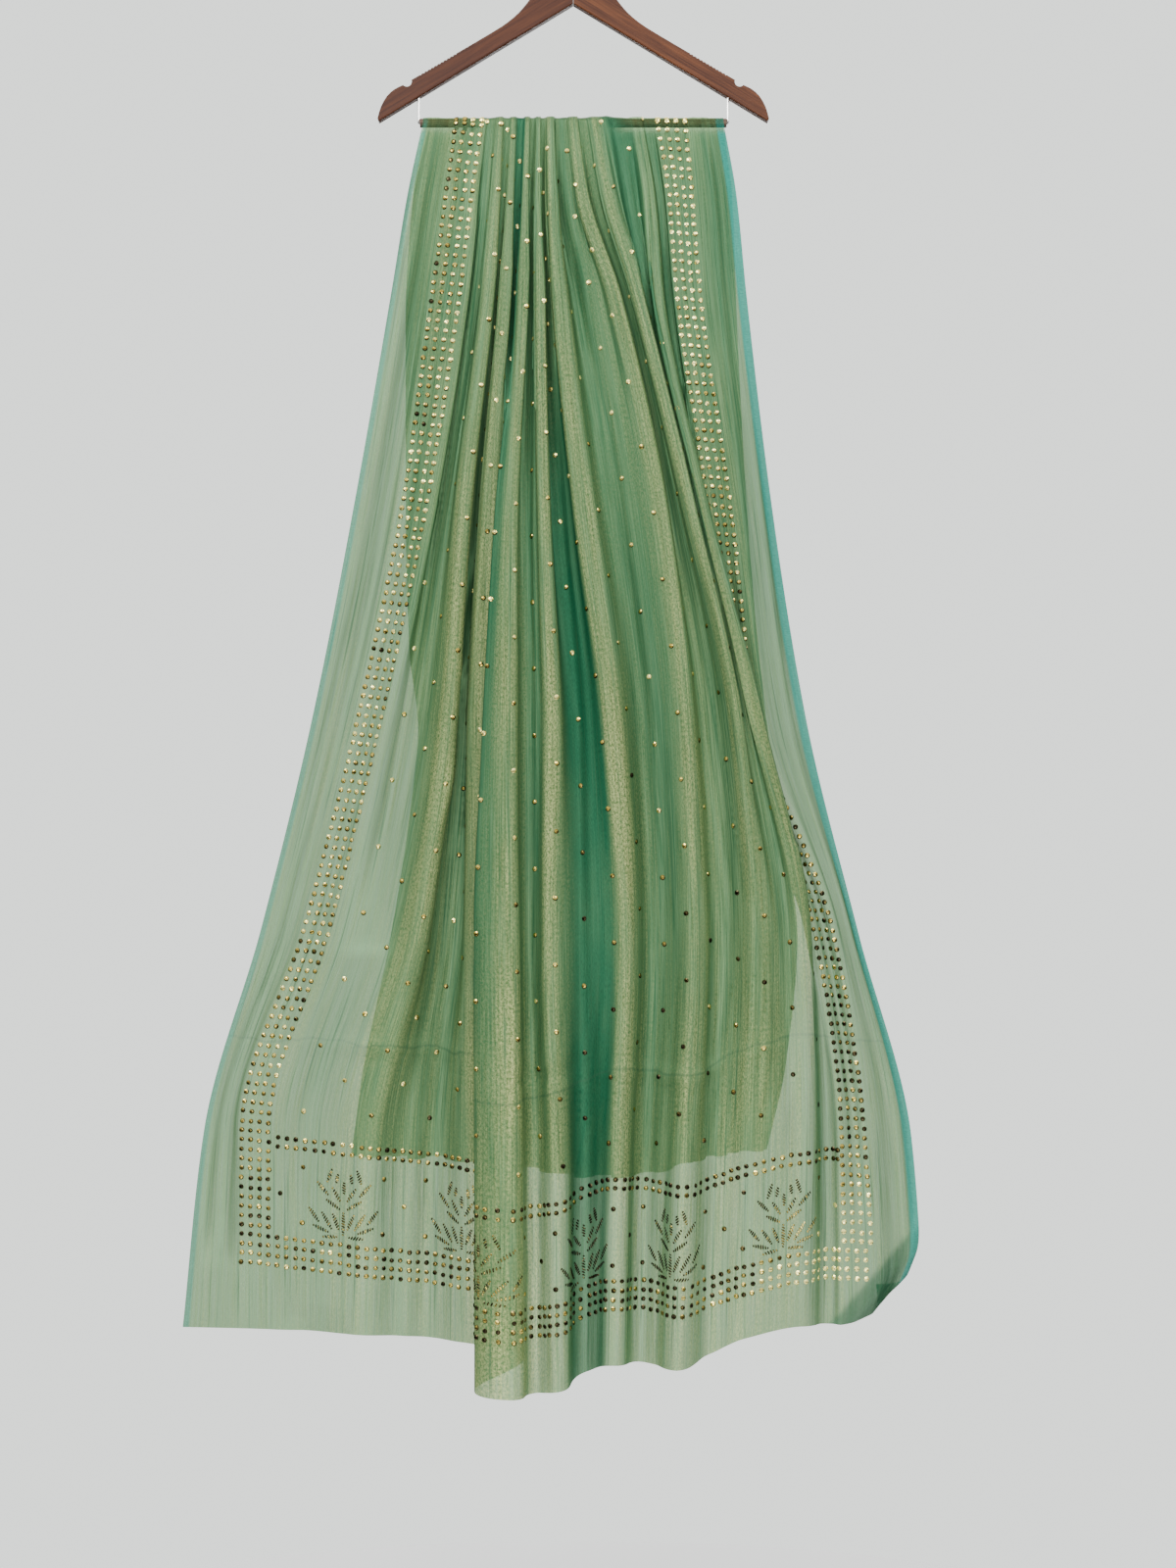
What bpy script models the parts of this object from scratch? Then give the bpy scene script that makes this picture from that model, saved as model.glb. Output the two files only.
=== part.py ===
"""Dupatta stole draped over the trouser bar of a wooden hanger.

Metres, +Z up, +X to the right of someone facing the long front fall, who stands on the -Y side.
The origin is the seat of the hook, where a rail carries the hanger.
Tables and named sizes are in millimetres and are scaled once, as each mesh is made.
"""

import math
from collections import namedtuple

import bmesh
import bpy
import numpy as np
from mathutils import Vector

MM = 0.001
GAP = 0.3
NEAR = 1e-6

# Trouser bar and its wire
BAR_Z = -259.0
BAR_RADIUS = 5.0
BAR_HALF_LENGTH = 174.7
WIRE_RADIUS = 1.5
WIRE_X = 176.5
WIRE_SOCKET_DEPTH = 7.0
WIRE_IN_ARM = 8.0
WIRE_BEND = 2.2

# Hook
HOOK_WIRE_RADIUS = 2.0
HOOK_RADIUS = 24.0
HOOK_START_ANGLE, HOOK_END_ANGLE = -80.0, 200.0
HOOK_POINTS = 29
HOOK_IN_NECK = 26.0
HOOK_LEAN = (0.9, 2.2)
HOOK_LEAN_START = 6.0

# Wooden arms
ARM_THICKNESS = 12.0
ARM_BEVEL = 1.6
NECK_TOP = -86.0
APEX = -124.5
NECK_CURVE = [(22, -88), (33, -93), (40, -101), (44, -110), (49, -118.5), (58, -130), (68, -140)]
SHOULDER_END = [(82, -150.5), (103, -163.2)]
UPPER_EDGE_END = (194.5, -217.0)
NOSE_CURVE = [(203.5, -221.5), (212, -229.2), (219, -241.5), (223.0, -254.9)]
ARM_TIP = (221.5, -258.3)
NOTCH_CENTRE, NOTCH_RADIUS = (189.5, -213.4), 5.8
TOOTH_FIRST_X, TOOTH_LAST_X, TOOTH_COUNT = 134.0, 174.0, 12
TOOTH_DEPTH, TOOTH_RADIUS = 1.3, 1.15

# Cloth
CLOTH_THICKNESS = 1.1
BAR_PATH_RADIUS = BAR_RADIUS + GAP + CLOTH_THICKNESS / 2
SEAM_HALF_GAP = GAP / 2
FRONT_ROWS = 18
BACK_ROWS = 13
TURN_ROWS = 6
ROW_CROWDING = 1.15
FULLEST_TURN = 1.78
FLATTEST_TURN = 1.42
PRESSED_SHARE = 0.12
HARDEST_TURN = 2.2
WAVE_POINTS = 96

# Share of the front fall at which each x column below is read
FRONT_LEVELS = (0, 0.062, 0.142, 0.318, 0.494, 0.669, 0.837, 1)

# One row for each fold line, from the left selvedge to the right one. across is the distance over the
# flat cloth, x is where the line hangs at each level, out is how far it stands forward of the bar's
# face at the bar, half way and at the hem, and fall is its drop. depth is the share of its natural
# depth that the hollow before the line keeps, and steps is the number of strips across that hollow.
Fold = namedtuple("Fold", "across x out fall depth steps")
FRONT_FOLDS = (
    Fold(0, (-171, -189, -207, -249, -296, -354, -419, -443), (0, 5, 8), 1370, 1, 0),
    Fold(60, (-133, -145, -160, -194, -244, -305, -376, -376), (0, 4, 10), 1371, 1, 3),
    Fold(90, (-104, -116, -129, -167, -218, -277, -346, -345), (0, 5, 10), 1372, 1, 2),
    Fold(190, (-83, -87, -96, -125, -143, -179, -238, -246), (3.4, 30, 16), 1377, 1, 8),
    Fold(340, (-68, -72, -79, -97, -108, -106, -101, -100), (3.2, 16, 6), 1392, 1, 8),
    Fold(480, (-52, -55, -58, -70, -72, -68, -66, -66), (3.6, 44, 62), 1438, 1, 10),
    Fold(550, (-40, -41, -40, -35, -26, -28, -19, -17), (3.4, 36, 52), 1432, 1, 8),
    Fold(640, (-28, -27, -20, 7, 41, 56, 48, 44), (3.6, 36, 42), 1405, 1, 8),
    Fold(745, (0, 10, 45, 97, 125, 134, 123, 116), (3.6, 34, 44), 1410, 1, 8),
    Fold(835, (22, 38, 71, 130, 184, 205, 200, 196), (3.4, 40, 26), 1378, 1, 8),
    Fold(900, (72, 84, 92, 145, 200, 256, 266, 261), (2.6, 34, 22), 1366, 0.5, 8),
    Fold(956, (96, 109, 118, 152, 178, 272, 304, 308), (0, 8, 12), 1368, 1, 8),
    Fold(986, (127, 135, 144, 178, 208, 294, 330, 342), (0, 5, 10), 1372, 1, 2),
    Fold(1046, (171, 186, 197, 226, 265, 324, 384, 400), (0, 4, 8), 1380, 1, 4),
)

# Where the cloth doubles back under a fold and lies flat there: how far it runs either way of the
# straight line between its two fold lines, at each level. The key is the second line's across
DOUBLED = {
    480: (0, 0, 0, 11, 20, 33, 35, 35),
    956: (0, 0, 0, 4, 19, 6, 0, 0),
}
FULLY_DOUBLED = 5.0

# How flat the folds lie: at the bar, half way and at the hem, as a share of their natural depth
FRONT_DEPTH = (0.15, 0.62, 0.8)
BACK_DEPTH = (0.15, 0.5, 0.6)

# The short fall behind hangs narrower. Its selvedges, at shares of its fall
BACK_LEVELS = (0, 0.074, 0.187, 0.376, 0.508, 0.584, 0.67, 0.793, 0.915, 1)
BACK_LEFT = (-171, -184, -192, -192, -188, -178, -188, -211, -241, -255)
BACK_RIGHT = (171, 182, 187, 199, 212, 222, 236, 257, 244, 222)

# One row for each fold line of the back fall, in the order of the front one's: its share of the width
# at the hem, how far it stands out at the bar, half way and at the hem, and its drop
BackFold = namedtuple("BackFold", "share out fall")
BACK_FOLDS = (
    BackFold(0, (0, 6, 8), 1181),
    BackFold(0.084, (0, 8, 12), 1181),
    BackFold(0.12, (0, 12, 16), 1182),
    BackFold(0.2, (3.4, 30, 30), 1184),
    BackFold(0.325, (3.2, 22, 34), 1189),
    BackFold(0.43, (3.6, 34, 40), 1199),
    BackFold(0.52, (3.4, 30, 42), 1207),
    BackFold(0.6, (3.6, 34, 44), 1209),
    BackFold(0.71, (3.6, 32, 40), 1205),
    BackFold(0.8, (3.4, 34, 36), 1194),
    BackFold(0.86, (2.6, 26, 28), 1184),
    BackFold(0.908, (0, 16, 18), 1179),
    BackFold(0.937, (0, 10, 14), 1176),
    BackFold(1, (0, 6, 8), 1173),
)

# The lower right corner of the front fall is turned back along a slanting crease, in x and z
CREASE_TOP, CREASE_FOOT = (391, -1508), (284, -1626)
CORNER_TURN, CORNER_TURN_RUN = math.radians(56), 34.0
TIP_TURN, TIP_TURN_START, TIP_TURN_RUN = math.radians(80), 56.0, 28.0
CORNER_REACH, CORNER_STEPS = 140.0, 280


def principled(name, colour, roughness, metallic=0.0):
    """A plain material with one Principled shader."""
    material = bpy.data.materials.new(name)
    material.use_nodes = True
    shader = material.node_tree.nodes["Principled BSDF"]
    shader.inputs["Base Color"].default_value = (*colour, 1)
    shader.inputs["Roughness"].default_value = roughness
    shader.inputs["Metallic"].default_value = metallic
    return material


def new_object(name, mesh, collection, material=None):
    """Puts a mesh in a collection under its own name."""
    thing = bpy.data.objects.new(name, mesh)
    collection.objects.link(thing)
    if material:
        mesh.materials.append(material)
    return thing


def shade_round(mesh, angle=35.0):
    """Shades smooth, with sharp edges where faces meet at more than the angle."""
    mesh.shade_smooth()
    mesh.set_sharp_from_angle(angle=math.radians(angle))


# Smooth reading of the tables


def smooth_read(levels, values, at):
    """Values at the given levels on a smooth curve that never overshoots its table."""
    x, y = np.array(levels, float), np.array(values, float)
    run, slope = np.diff(x), np.diff(y) / np.diff(x)
    tangent = np.empty_like(y)
    tangent[0], tangent[-1] = slope[0], slope[-1]
    same_way = slope[:-1] * slope[1:] > 0
    total = np.where(same_way, slope[:-1] + slope[1:], 1)
    tangent[1:-1] = np.where(same_way, 2 * slope[:-1] * slope[1:] / total, 0)
    i = np.clip(np.searchsorted(x, at, side="right") - 1, 0, len(run) - 1)
    t = (at - x[i]) / run[i]
    hold = y[i] * (1 + 2 * t) * (1 - t) ** 2 + y[i + 1] * t * t * (3 - 2 * t)
    swing = tangent[i] * t * (1 - t) ** 2 - tangent[i + 1] * t * t * (1 - t)
    return hold + run[i] * swing


def three_part(values, share):
    """Reads a value given at the bar, half way and at the hem."""
    return smooth_read((0, 0.5, 1), values, share)


# Folds


def fold_turns():
    """How far a strip of cloth advances for its length, against how hard it turns at each fold."""
    turns = np.linspace(0, HARDEST_TURN, 221)
    advance = np.cos(turns[:, None] * np.sin(PHASE[:-1])).mean(axis=1)
    return turns, advance


PHASE = np.linspace(0, 2 * math.pi, WAVE_POINTS + 1)
TURNS, ADVANCE = fold_turns()


def fold_shape(width, length, fullest, steps):
    """One fold of cloth from crest to crest. Its direction swings as a sine along the cloth, which is
    how a strip settles when it has more length than width. Returns x from 0 to width and depth."""
    ratio = min(max(width / length, 0), 1)
    turn = min(float(np.interp(ratio, ADVANCE[::-1], TURNS[::-1])), fullest)
    angle = turn * np.sin(PHASE)
    step = length / (len(PHASE) - 1)
    middle = (angle[1:] + angle[:-1]) / 2
    x = np.concatenate([[0], np.cumsum(np.cos(middle)) * step])
    depth = np.concatenate([[0], np.cumsum(np.sin(middle)) * step])
    x *= width / x[-1]
    at = np.linspace(0, 2 * math.pi, steps + 1)
    return np.interp(at, PHASE, x), np.interp(at, PHASE, depth)


def section(fold_x, fold_out, depths, fullest, doubled):
    """A level of the cloth: x and distance out from the bar's face, from selvedge to selvedge."""
    xs, outs = [fold_x[0]], [fold_out[0]]
    for k, count in enumerate(STEPS):
        width = fold_x[k + 1] - fold_x[k]
        x, depth = fold_shape(max(width, 1), LENGTHS[k], fullest, count)
        t = np.linspace(0, 1, count + 1)
        flat = min(doubled[k] / FULLY_DOUBLED, 1)
        x = x * (1 - flat) + width * t * flat + doubled[k] * np.sin(2 * math.pi * t)
        base = fold_out[k] + (fold_out[k + 1] - fold_out[k]) * (t + (t * t * (3 - 2 * t) - t) * flat)
        natural = max(depth.max(), 1e-6)
        room = (fold_out[k] + fold_out[k + 1]) / 2
        reach = min(natural * depths[k], room) * (1 - flat)
        xs.extend((fold_x[k] + x)[1:])
        outs.extend((base - reach * depth / natural)[1:])
    return np.array(xs), np.array(outs)


def across_positions(folds):
    """The distance over the flat cloth of each column of points."""
    across = [folds[0].across]
    for before, fold in zip(folds, folds[1:]):
        across.extend(np.linspace(before.across, fold.across, fold.steps + 1)[1:])
    return np.array(across)


def fullest_at(share):
    """The folds lie flatter at the bar, where they are pressed, than just below it."""
    return FLATTEST_TURN + (FULLEST_TURN - FLATTEST_TURN) * min(share / PRESSED_SHARE, 1)


FOLD_ACROSS = [fold.across for fold in FRONT_FOLDS]
LENGTHS = np.diff(FOLD_ACROSS)
STEPS = [fold.steps for fold in FRONT_FOLDS[1:]]
DEPTHS = np.array([fold.depth for fold in FRONT_FOLDS[1:]])
COLUMNS = across_positions(FRONT_FOLDS)


def front_section(share):
    """x and distance out of the front fall at a share of its drop."""
    at = np.array([share])
    fold_x = [smooth_read(FRONT_LEVELS, fold.x, at)[0] for fold in FRONT_FOLDS]
    fold_out = [three_part(fold.out, at)[0] for fold in FRONT_FOLDS]
    depths = DEPTHS * three_part(FRONT_DEPTH, at)[0]
    doubled = np.zeros(len(LENGTHS))
    for across, runs in DOUBLED.items():
        doubled[FOLD_ACROSS.index(across) - 1] = smooth_read(FRONT_LEVELS, runs, at)[0]
    return section(fold_x, fold_out, depths, fullest_at(share), doubled)


def back_section(share):
    """x and distance out of the back fall at a share of its drop."""
    at = np.array([share])
    left = smooth_read(BACK_LEVELS, BACK_LEFT, at)[0]
    right = smooth_read(BACK_LEVELS, BACK_RIGHT, at)[0]
    bar = [(fold.x[0] - BACK_LEFT[0]) / (BACK_RIGHT[0] - BACK_LEFT[0]) for fold in FRONT_FOLDS]
    blend = share * share * (3 - 2 * share)
    shares = [a + (b.share - a) * blend for a, b in zip(bar, BACK_FOLDS)]
    fold_x = [left + (right - left) * s for s in shares]
    fold_out = [three_part(fold.out, at)[0] for fold in BACK_FOLDS]
    depths = np.full(len(LENGTHS), three_part(BACK_DEPTH, at)[0])
    return section(fold_x, fold_out, depths, fullest_at(share), np.zeros(len(LENGTHS)))


# Cloth


def turn_corner(points):
    """Turns the lower right corner back along its crease, and its tip once more."""
    top, foot = np.array(CREASE_TOP, float), np.array(CREASE_FOOT, float)
    along = (foot - top) / np.linalg.norm(foot - top)
    outward = np.array([-along[1], along[0]])
    if outward[0] < 0:
        outward = -outward
    reach = np.linspace(0, CORNER_REACH, CORNER_STEPS + 1)
    first = CORNER_TURN * np.clip(reach / CORNER_TURN_RUN, 0, 1)
    second = TIP_TURN * np.clip((reach - TIP_TURN_START) / TIP_TURN_RUN, 0, 1)
    angle = first + second
    step = reach[1]
    flat = np.concatenate([[0], np.cumsum(np.cos(angle[1:]) * step)])
    back = np.concatenate([[0], np.cumsum(np.sin(angle[1:]) * step)])
    past = (points[..., 0] - top[0]) * outward[0] + (points[..., 2] - top[1]) * outward[1]
    beyond = np.clip(past, 0, None)
    moved = np.interp(beyond, reach, flat) - beyond
    points[..., 0] += moved * outward[0]
    points[..., 2] += moved * outward[1]
    points[..., 1] += np.interp(beyond, reach, back)
    return points


def front_grid():
    """Points of the front fall, a row for each level from the bar to the hem."""
    falls = smooth_read(FOLD_ACROSS, [fold.fall for fold in FRONT_FOLDS], COLUMNS)
    rows = []
    for share in np.linspace(0, 1, FRONT_ROWS + 1) ** ROW_CROWDING:
        x, out = front_section(share)
        z = BAR_Z - SEAM_HALF_GAP - share * (falls - SEAM_HALF_GAP)
        rows.append(np.stack([x, -(BAR_PATH_RADIUS + out), z], axis=1))
    return turn_corner(np.array(rows))


def back_grid():
    """Points of the back fall, a row for each level from the bar to the hem."""
    falls = smooth_read(FOLD_ACROSS, [fold.fall for fold in BACK_FOLDS], COLUMNS)
    rows = []
    for share in np.linspace(0, 1, BACK_ROWS + 1) ** ROW_CROWDING:
        x, out = back_section(share)
        z = BAR_Z - SEAM_HALF_GAP - share * (falls - SEAM_HALF_GAP)
        rows.append(np.stack([x, BAR_PATH_RADIUS + out, z], axis=1))
    return np.array(rows)


def turn_grid():
    """Points of the cloth that lies over the bar, from the front fall's top to the back fall's."""
    x, out = front_section(0)
    rows = []
    for row in range(TURN_ROWS + 1):
        angle = math.pi * row / TURN_ROWS
        clear = 1 if row in (0, TURN_ROWS) else 1 / math.cos(math.pi / TURN_ROWS / 2)
        radius = BAR_PATH_RADIUS * clear + out
        y, z = -radius * math.cos(angle), BAR_Z + SEAM_HALF_GAP + radius * math.sin(angle)
        rows.append(np.stack([x, y, z], axis=1))
    return np.array(rows)


def cloth(name, grid, collection, material, faces_back=False):
    """A wall of cloth: an open surface through the grid's rows, thickened on both sides."""
    rows, columns = grid.shape[:2]
    mesh = bpy.data.meshes.new(name)
    faces = []
    for r in range(rows - 1):
        for c in range(columns - 1):
            a = r * columns + c
            quad = (a, a + columns, a + columns + 1, a + 1)
            faces.append(quad[::-1] if faces_back else quad)
    mesh.from_pydata((grid.reshape(-1, 3) * MM).tolist(), [], faces)
    thing = new_object(name, mesh, collection, material)
    wall = thing.modifiers.new("wall", "SOLIDIFY")
    wall.thickness = CLOTH_THICKNESS * MM
    wall.offset = 0
    shade_round(mesh, 60)
    return thing


# Hanger


def rounded(points, per=2):
    """A smooth line through points, with a few more points between each pair."""
    p = [Vector(q) for q in points]
    p = [p[0] * 2 - p[1]] + p + [p[-1] * 2 - p[-2]]
    line = []
    for a, b, c, d in zip(p, p[1:], p[2:], p[3:]):
        for i in range(per):
            t = i / per
            line.append(
                (b * 2 + (c - a) * t + (a * 2 - b * 5 + c * 4 - d) * t * t
                 + (b * 3 - a - c * 3 + d) * t ** 3) / 2
            )
    return [tuple(q) for q in line] + [tuple(p[-2])]


def prism(name, outline, thickness):
    """A closed mesh from a flat outline in x and z, as thick as told along y."""
    curve = bpy.data.curves.new(name, "CURVE")
    curve.dimensions = "2D"
    curve.fill_mode = "BOTH"
    curve.extrude = thickness / 2 * MM
    spline = curve.splines.new("POLY")
    spline.points.add(len(outline) - 1)
    for point, (x, z) in zip(spline.points, outline):
        point.co = (x * MM, z * MM, 0, 1)
    spline.use_cyclic_u = True
    holder = bpy.data.objects.new(name, curve)
    bpy.context.scene.collection.objects.link(holder)
    bpy.context.view_layer.update()
    mesh = bpy.data.meshes.new_from_object(
        holder.evaluated_get(bpy.context.evaluated_depsgraph_get())
    )
    bpy.data.objects.remove(holder)
    bpy.data.curves.remove(curve)
    bm = bmesh.new()
    bm.from_mesh(mesh)
    bmesh.ops.remove_doubles(bm, verts=bm.verts, dist=NEAR)
    for vertex in bm.verts:
        vertex.co = Vector((vertex.co.x, -vertex.co.z, vertex.co.y))
    bmesh.ops.recalc_face_normals(bm, faces=bm.faces)
    bm.to_mesh(mesh)
    bm.free()
    return mesh


def arm_outline(side):
    """Outline of one arm, from the neck's top round the nose to the apex under the neck."""
    seam = GAP / 2
    neck = rounded([(seam, NECK_TOP)] + NECK_CURVE + SHOULDER_END)
    nose = rounded([UPPER_EDGE_END] + NOSE_CURVE)
    outline = neck + nose + [ARM_TIP, (seam, APEX)]
    outline = [(side * x, z) for x, z in outline]
    return outline if side < 0 else outline[::-1]


def tube(name, points, radius, collection, material=None, resolution=3):
    """A round wire along straight runs between points, with filled ends."""
    curve = bpy.data.curves.new(name, "CURVE")
    curve.dimensions = "3D"
    curve.bevel_depth = radius * MM
    curve.bevel_resolution = resolution
    curve.use_fill_caps = True
    spline = curve.splines.new("POLY")
    spline.points.add(len(points) - 1)
    for point, place in zip(spline.points, points):
        point.co = (*(c * MM for c in place), 1)
    thing = bpy.data.objects.new(name, curve)
    collection.objects.link(thing)
    if material:
        curve.materials.append(material)
    return thing


def drill(name, radius, start, end, collection):
    """A round cutter from one point to another."""
    start, end = Vector(start), Vector(end)
    bm = bmesh.new()
    bmesh.ops.create_cone(
        bm,
        cap_ends=True,
        segments=12,
        radius1=radius * MM,
        radius2=radius * MM,
        depth=(end - start).length * MM,
    )
    mesh = bpy.data.meshes.new(name)
    bm.to_mesh(mesh)
    bm.free()
    cutter = new_object(name, mesh, collection)
    cutter.location = (start + end) / 2 * MM
    cutter.rotation_euler = Vector((0, 0, 1)).rotation_difference(end - start).to_euler()
    cutter.hide_render = True
    cutter.display_type = "WIRE"
    return cutter


def tooth_places(side):
    """Centres of the anti-slip teeth's grooves along the straight upper edge of an arm."""
    start, end = Vector(SHOULDER_END[-1]), Vector(UPPER_EDGE_END)
    for x in np.linspace(TOOTH_FIRST_X, TOOTH_LAST_X, TOOTH_COUNT):
        edge = start.lerp(end, (x - start.x) / (end.x - start.x))
        yield side * x, edge.y + TOOTH_RADIUS - TOOTH_DEPTH


def groove_cutters(name, side, collection):
    """All of one arm's tooth grooves as one cutter of separate rods."""
    bm = bmesh.new()
    for x, z in tooth_places(side):
        made = bmesh.ops.create_cone(
            bm,
            cap_ends=True,
            segments=6,
            radius1=TOOTH_RADIUS * MM,
            radius2=TOOTH_RADIUS * MM,
            depth=2 * ARM_THICKNESS * MM,
        )
        for vertex in made["verts"]:
            vertex.co = Vector((vertex.co.x + x * MM, vertex.co.z, z * MM - vertex.co.y))
    bmesh.ops.recalc_face_normals(bm, faces=bm.faces)
    mesh = bpy.data.meshes.new(name)
    bm.to_mesh(mesh)
    bm.free()
    cutter = new_object(name, mesh, collection)
    cutter.hide_render = True
    cutter.display_type = "WIRE"
    return cutter


def cut(thing, cutters):
    """Cuts each cutter out of a piece."""
    for cutter in cutters:
        boolean = thing.modifiers.new(cutter.name, "BOOLEAN")
        boolean.operation = "DIFFERENCE"
        boolean.solver = "EXACT"
        boolean.object = cutter


def wooden_arm(name, side, parts, cutters, material):
    """One shaped arm with eased edges, a strap notch, anti-slip teeth and holes for hook and wire."""
    mesh = prism(name, arm_outline(side), ARM_THICKNESS)
    arm = new_object(name, mesh, parts, material)
    weight = mesh.attributes.new("bevel_weight_edge", "FLOAT", "EDGE")
    face_y, seam_x = ARM_THICKNESS / 2 * MM, GAP / 2 * MM
    side_edges = {key for face in mesh.polygons if abs(face.normal.y) < 0.5 for key in face.edge_keys}
    for edge in mesh.edges:
        a, b = (mesh.vertices[i].co for i in edge.vertices)
        on_face = abs(abs(a.y) - face_y) < NEAR and abs(a.y - b.y) < NEAR
        on_seam = abs(abs(a.x) - seam_x) < NEAR and abs(a.x - b.x) < NEAR
        eased = on_face and edge.key in side_edges and not on_seam
        weight.data[edge.index].value = 1.0 if eased else 0.0
    bevel = arm.modifiers.new("eased_edges", "BEVEL")
    bevel.limit_method = "WEIGHT"
    bevel.width = ARM_BEVEL * MM
    bevel.segments = 2
    notch_x, notch_z = NOTCH_CENTRE
    wire_x, wire_top = side * WIRE_X, arm_underside(WIRE_X) + WIRE_IN_ARM
    hook_foot = NECK_TOP - HOOK_IN_NECK
    notch = drill(
        name + "_notch",
        NOTCH_RADIUS,
        (side * notch_x, -ARM_THICKNESS, notch_z),
        (side * notch_x, ARM_THICKNESS, notch_z),
        cutters,
    )
    wire_hole = drill(
        name + "_wire_hole",
        WIRE_RADIUS + GAP,
        (wire_x, 0, wire_top + GAP),
        (wire_x, 0, wire_top - 2 * WIRE_IN_ARM),
        cutters,
    )
    hook_hole = drill(
        name + "_hook_hole",
        HOOK_WIRE_RADIUS + GAP,
        (0, 0, hook_foot - GAP),
        (0, 0, NECK_TOP + HOOK_IN_NECK),
        cutters,
    )
    cut(arm, [notch, groove_cutters(name + "_teeth", side, cutters), wire_hole, hook_hole])
    shade_round(mesh, 30)
    return arm


def arm_underside(x):
    """Height of an arm's straight lower edge at a distance from the middle."""
    return APEX + (ARM_TIP[1] - APEX) * x / ARM_TIP[0]


def hook(collection, material):
    """Round wire up from the neck, three quarters round a circle whose inside top is the origin."""
    centre = HOOK_WIRE_RADIUS - HOOK_RADIUS
    foot = centre - HOOK_RADIUS
    lean_x, lean_drop = HOOK_LEAN
    points = [
        (0, 0, NECK_TOP - HOOK_IN_NECK),
        (0, 0, foot - HOOK_LEAN_START),
        (lean_x, 0, foot - lean_drop),
    ]
    for degrees in np.linspace(HOOK_START_ANGLE, HOOK_END_ANGLE, HOOK_POINTS):
        angle = math.radians(degrees)
        points.append((HOOK_RADIUS * math.cos(angle), 0, centre + HOOK_RADIUS * math.sin(angle)))
    return tube("hook", points, HOOK_WIRE_RADIUS, collection, material, 3)


def trouser_bar(parts, cutters, material):
    """The round bar that carries the cloth, with a socket in each end for the wire."""
    bm = bmesh.new()
    bmesh.ops.create_cone(
        bm,
        cap_ends=True,
        segments=24,
        radius1=BAR_RADIUS * MM,
        radius2=BAR_RADIUS * MM,
        depth=2 * BAR_HALF_LENGTH * MM,
    )
    for vertex in bm.verts:
        vertex.co = Vector((vertex.co.z, vertex.co.y, -vertex.co.x))
    mesh = bpy.data.meshes.new("bar_tube")
    bm.to_mesh(mesh)
    bm.free()
    bar = new_object("bar_tube", mesh, parts, material)
    bar.location.z = BAR_Z * MM
    sockets = []
    for side, word in ((-1, "left"), (1, "right")):
        deep = (side * (BAR_HALF_LENGTH - WIRE_SOCKET_DEPTH), 0, BAR_Z)
        outside = (side * (BAR_HALF_LENGTH + WIRE_SOCKET_DEPTH), 0, BAR_Z)
        sockets.append(drill(f"bar_socket_{word}", WIRE_RADIUS + GAP, deep, outside, cutters))
    cut(bar, sockets)
    shade_round(mesh)
    return bar


def bar_wire(name, side, collection, material):
    """Wire from the hole under an arm down to the bar and round into its end."""
    top = arm_underside(WIRE_X) + WIRE_IN_ARM
    inner = BAR_HALF_LENGTH - WIRE_SOCKET_DEPTH + GAP
    points = [(side * WIRE_X, 0, top)]
    for degrees in (0, 30, 60, 90):
        angle = math.radians(degrees)
        x = WIRE_X - WIRE_BEND * (1 - math.cos(angle))
        points.append((side * x, 0, BAR_Z + WIRE_BEND * (1 - math.sin(angle))))
    points.append((side * inner, 0, BAR_Z))
    return tube(name, points, WIRE_RADIUS, collection, material, 2)


def main():
    for thing in list(bpy.data.objects):
        bpy.data.objects.remove(thing)
    parts = bpy.data.collections.new("dupatta_on_hanger")
    cutters = bpy.data.collections.new("cutters")
    bpy.context.scene.collection.children.link(parts)
    bpy.context.scene.collection.children.link(cutters)

    tissue = principled("tissue_cloth", (0.36, 0.50, 0.26), 0.42, 0.25)
    wood = principled("stained_wood", (0.20, 0.075, 0.035), 0.38)
    steel = principled("bright_wire", (0.78, 0.77, 0.74), 0.25, 1.0)
    sleeve = principled("brown_bar", (0.11, 0.07, 0.04), 0.5)

    cloth("front_fall", front_grid(), parts, tissue)
    cloth("bar_turn", turn_grid(), parts, tissue, faces_back=True)
    cloth("back_fall", back_grid(), parts, tissue, faces_back=True)
    for side, word in ((-1, "left"), (1, "right")):
        wooden_arm(f"hanger_arm_{word}", side, parts, cutters, wood)
        bar_wire(f"bar_wire_{word}", side, parts, steel)
    hook(parts, steel)
    trouser_bar(parts, cutters, sleeve)


main()
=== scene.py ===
"""Looks of a sheer tissue dupatta draped over the trouser bar of a wooden hanger.

Metres, +Z up, +X to the right of someone facing the long front fall, who stands on the -Y side.
The cloth's own tables are in millimetres, as its sections are in the solids that it stands for.
u is the distance over the flat cloth from its left selvedge, v the distance up from a fall's hem.
"""

import math
from collections import namedtuple

import bpy
import numpy as np
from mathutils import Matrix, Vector, noise


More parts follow.
